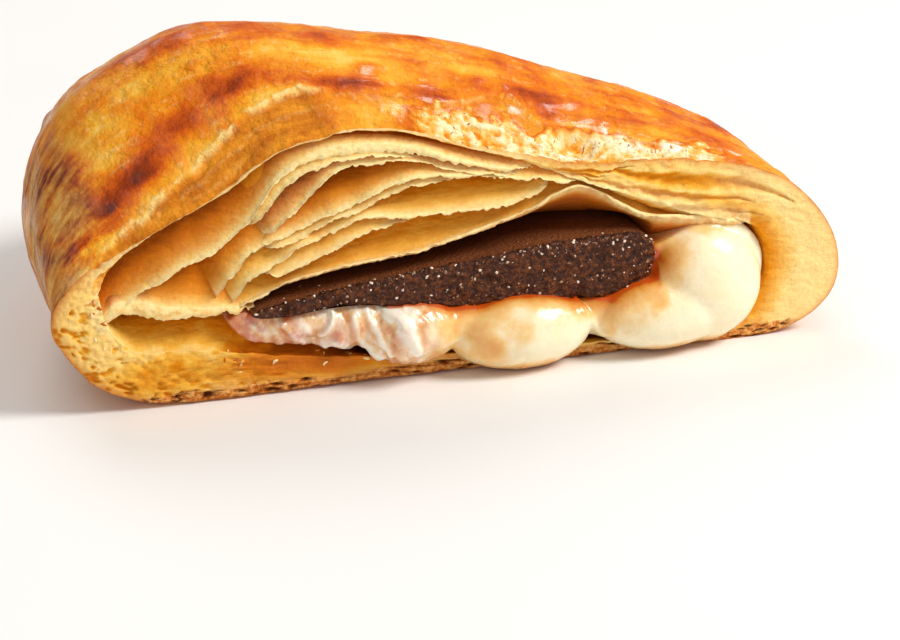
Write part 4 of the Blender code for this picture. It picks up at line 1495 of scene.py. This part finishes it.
def slab_look():
    look = Look("dark moist filling")
    topness = look.mark("topness")
    fine = look.mottle(0.6, 4.0)
    cloud = look.mottle(6.0, 3.0, (0.4, 1.0, 1.0))
    shade = look.ramp(fine, [
        (0.30, rgb(38, 12, 1)), (0.50, rgb(74, 32, 8)), (0.68, rgb(124, 66, 24)),
    ])
    top = look.mix(cloud, rgb(90, 40, 12), rgb(146, 88, 46))
    rough = 0.28 + fine * 0.35 + topness * 0.15
    return look.finish(
        Base_Color=look.mix(topness, shade, top), Roughness=rough,
        Normal=look.bump(fine + look.mottle(0.3, 2.0) * 0.4, 0.9, 0.6), Specular_IOR_Level=0.22,
        Coat_Weight=0.08, Coat_Roughness=0.12,
    )


def glint_look():
    look = Look("painted glint specks")
    tone = look.mark("tone")
    # Specks that stand in for glints; the palest are painted highlights.
    shade = look.ramp(tone, [
        (0.1, rgb(84, 44, 22)), (0.6, rgb(146, 98, 64)), (0.95, rgb(250, 228, 206)),
    ])
    return look.finish(
        Base_Color=shade, Roughness=0.12 + tone * 0.1, Specular_IOR_Level=0.6,
        Coat_Weight=0.5, Coat_Roughness=0.08,
    )


def crumb_look():
    look = Look("loose flakes of dough")
    tone, fine = look.mark("tone"), look.mottle(0.5, 3.0)
    shade = look.ramp(tone + (fine - 0.5) * 0.3, [
        (0.08, rgb(196, 98, 16)), (0.26, rgb(232, 146, 44)), (0.5, rgb(248, 194, 104)),
        (0.8, rgb(255, 230, 176)),
    ])
    return look.finish(
        Base_Color=shade, Roughness=0.4 + fine * 0.2, Normal=look.bump(fine, 0.5, 0.2),
        Specular_IOR_Level=0.25, Coat_Weight=tone * 0.25, Coat_Roughness=0.2,
    )


def cream_look():
    look = Look("pale melted cream")
    red, amber = look.mark("red"), look.mark("amber")
    torn, strand = look.mark("torn"), look.mark("strand")
    cloud = look.mottle(5.0, 4.0)
    fine = look.mottle(1.2, 4.0)
    shade = look.mix(cloud, rgb(254, 245, 220), rgb(250, 228, 180))
    # Amber tint with painted shade, from pale cream to deep orange.
    tinted = look.ramp(amber + (fine - 0.5) * 0.3, [
        (0.15, rgb(250, 234, 196)), (0.45, rgb(244, 200, 126)), (0.75, rgb(228, 150, 56)),
        (1.0, rgb(200, 100, 14)),
    ])
    shade = look.mix(look.between(amber + (fine - 0.5) * 0.2, 0.08, 0.4), shade, tinted)
    pulled = look.mottle(2.0, 5.0, (1.0, 1.0, 0.6))
    # The torn cream, paler along its strands, partly as painted highlight.
    mingled = look.ramp(pulled + strand * 0.4 + (fine - 0.5) * 0.3, [
        (0.34, rgb(184, 98, 36)), (0.48, rgb(220, 152, 98)), (0.62, rgb(238, 198, 150)),
        (0.80, rgb(253, 243, 226)),
    ])
    shade = look.mix(torn * 0.92, shade, mingled)
    shade = look.mix(look.mark("rosy") * look.between(fine, 0.3, 0.6) * 0.8, shade, rgb(204, 84, 62))
    shade = look.mix(look.between(red + (fine - 0.5) * 0.5, 0.3, 0.75) * 0.85, shade, rgb(208, 76, 8))
    return look.finish(
        Base_Color=shade, Roughness=0.2 + cloud * 0.14, Normal=look.bump(fine, 0.35, 0.3),
        Subsurface_Weight=0.3, Subsurface_Scale=0.0025, Coat_Weight=0.4, Coat_Roughness=0.1,
    )


# The stage: a pale floor, soft lights and the camera.

VIEW_TURN = -18.0
VIEW_RISE = 20.0
VIEW_DISTANCE = 500.0
VIEW_TARGET = (0.0, 0.0, 19.15)
VIEW_SCALE = 0.1235  # millimetres of the object to a pixel
VIEW_DROP = 90.0  # pixels from the target down to the middle of the picture
PICTURE_WIDTH = 900
SENSOR = 36.0


# Each light's name, place and size in metres, power and tint.
LIGHTS = [
    ("window", (0.52, -0.28, 0.56), 0.32, 5.8, (1.0, 0.98, 0.95)),
    ("front fill", (-0.35, -0.75, 0.35), 0.8, 1.1, (1.0, 0.99, 0.97)),
    ("back light", (-0.1, 0.55, 0.6), 0.5, 2.1, (1.0, 0.98, 0.95)),
]
ROOM_TINT = (1.0, 0.99, 0.98, 1.0)
ROOM_STRENGTH = 0.36


def add_floor():
    mesh = bpy.data.meshes.new("floor")
    reach = 3.0
    corners = [(-reach, -reach, 0), (reach, -reach, 0), (reach, reach, 0), (-reach, reach, 0)]
    mesh.from_pydata(corners, [], [(0, 1, 2, 3)])
    look = Look("pale floor")
    tone = look.mix(look.mottle(90.0, 2.0), rgb(238, 237, 235), rgb(246, 245, 243))
    mesh.materials.append(look.finish(Base_Color=tone, Roughness=0.6))
    floor = bpy.data.objects.new("floor", mesh)
    bpy.context.scene.collection.objects.link(floor)


def add_light(name, place, size, power, tint):
    data = bpy.data.lights.new(name, "AREA")
    data.shape = "DISK"
    data.size = size
    data.energy = power
    data.color = tint
    light = bpy.data.objects.new(name, data)
    light.location = place
    light.rotation_euler = (-Vector(place)).to_track_quat("-Z", "Y").to_euler()
    bpy.context.scene.collection.objects.link(light)


def add_lights():
    for light in LIGHTS:
        add_light(*light)
    world = bpy.data.worlds.new("soft room")
    world.use_nodes = True
    room = world.node_tree.nodes["Background"].inputs
    room["Color"].default_value = ROOM_TINT
    room["Strength"].default_value = ROOM_STRENGTH
    bpy.context.scene.world = world
    bpy.context.scene.view_settings.view_transform = "Standard"


def add_camera():
    turn, rise = math.radians(VIEW_TURN), math.radians(VIEW_RISE)
    back = Vector((
        math.sin(turn) * math.cos(rise), -math.cos(turn) * math.cos(rise), math.sin(rise)
    ))
    right = Vector((math.cos(turn), math.sin(turn), 0.0))
    up = back.cross(right)
    target = Vector((np.array(VIEW_TARGET) - ORIGIN) * MM)
    place = target + back * VIEW_DISTANCE * MM
    aim = target - up * VIEW_DROP * VIEW_SCALE * MM
    data = bpy.data.cameras.new("camera")
    data.sensor_width = SENSOR
    data.lens = SENSOR * VIEW_DISTANCE / (PICTURE_WIDTH * VIEW_SCALE)
    data.clip_start = 0.01
    camera = bpy.data.objects.new("camera", data)
    camera.location = place
    camera.rotation_euler = (place - aim).to_track_quat("Z", "Y").to_euler()
    bpy.context.scene.collection.objects.link(camera)
    bpy.context.scene.camera = camera


def main():
    dough = dough_look()
    make_shell(crust_look(), dough, crumb_look())
    make_layers(dough)
    make_slab(slab_look(), glint_look())
    make_cream(cream_look())
    add_floor()
    add_lights()
    add_camera()


main()
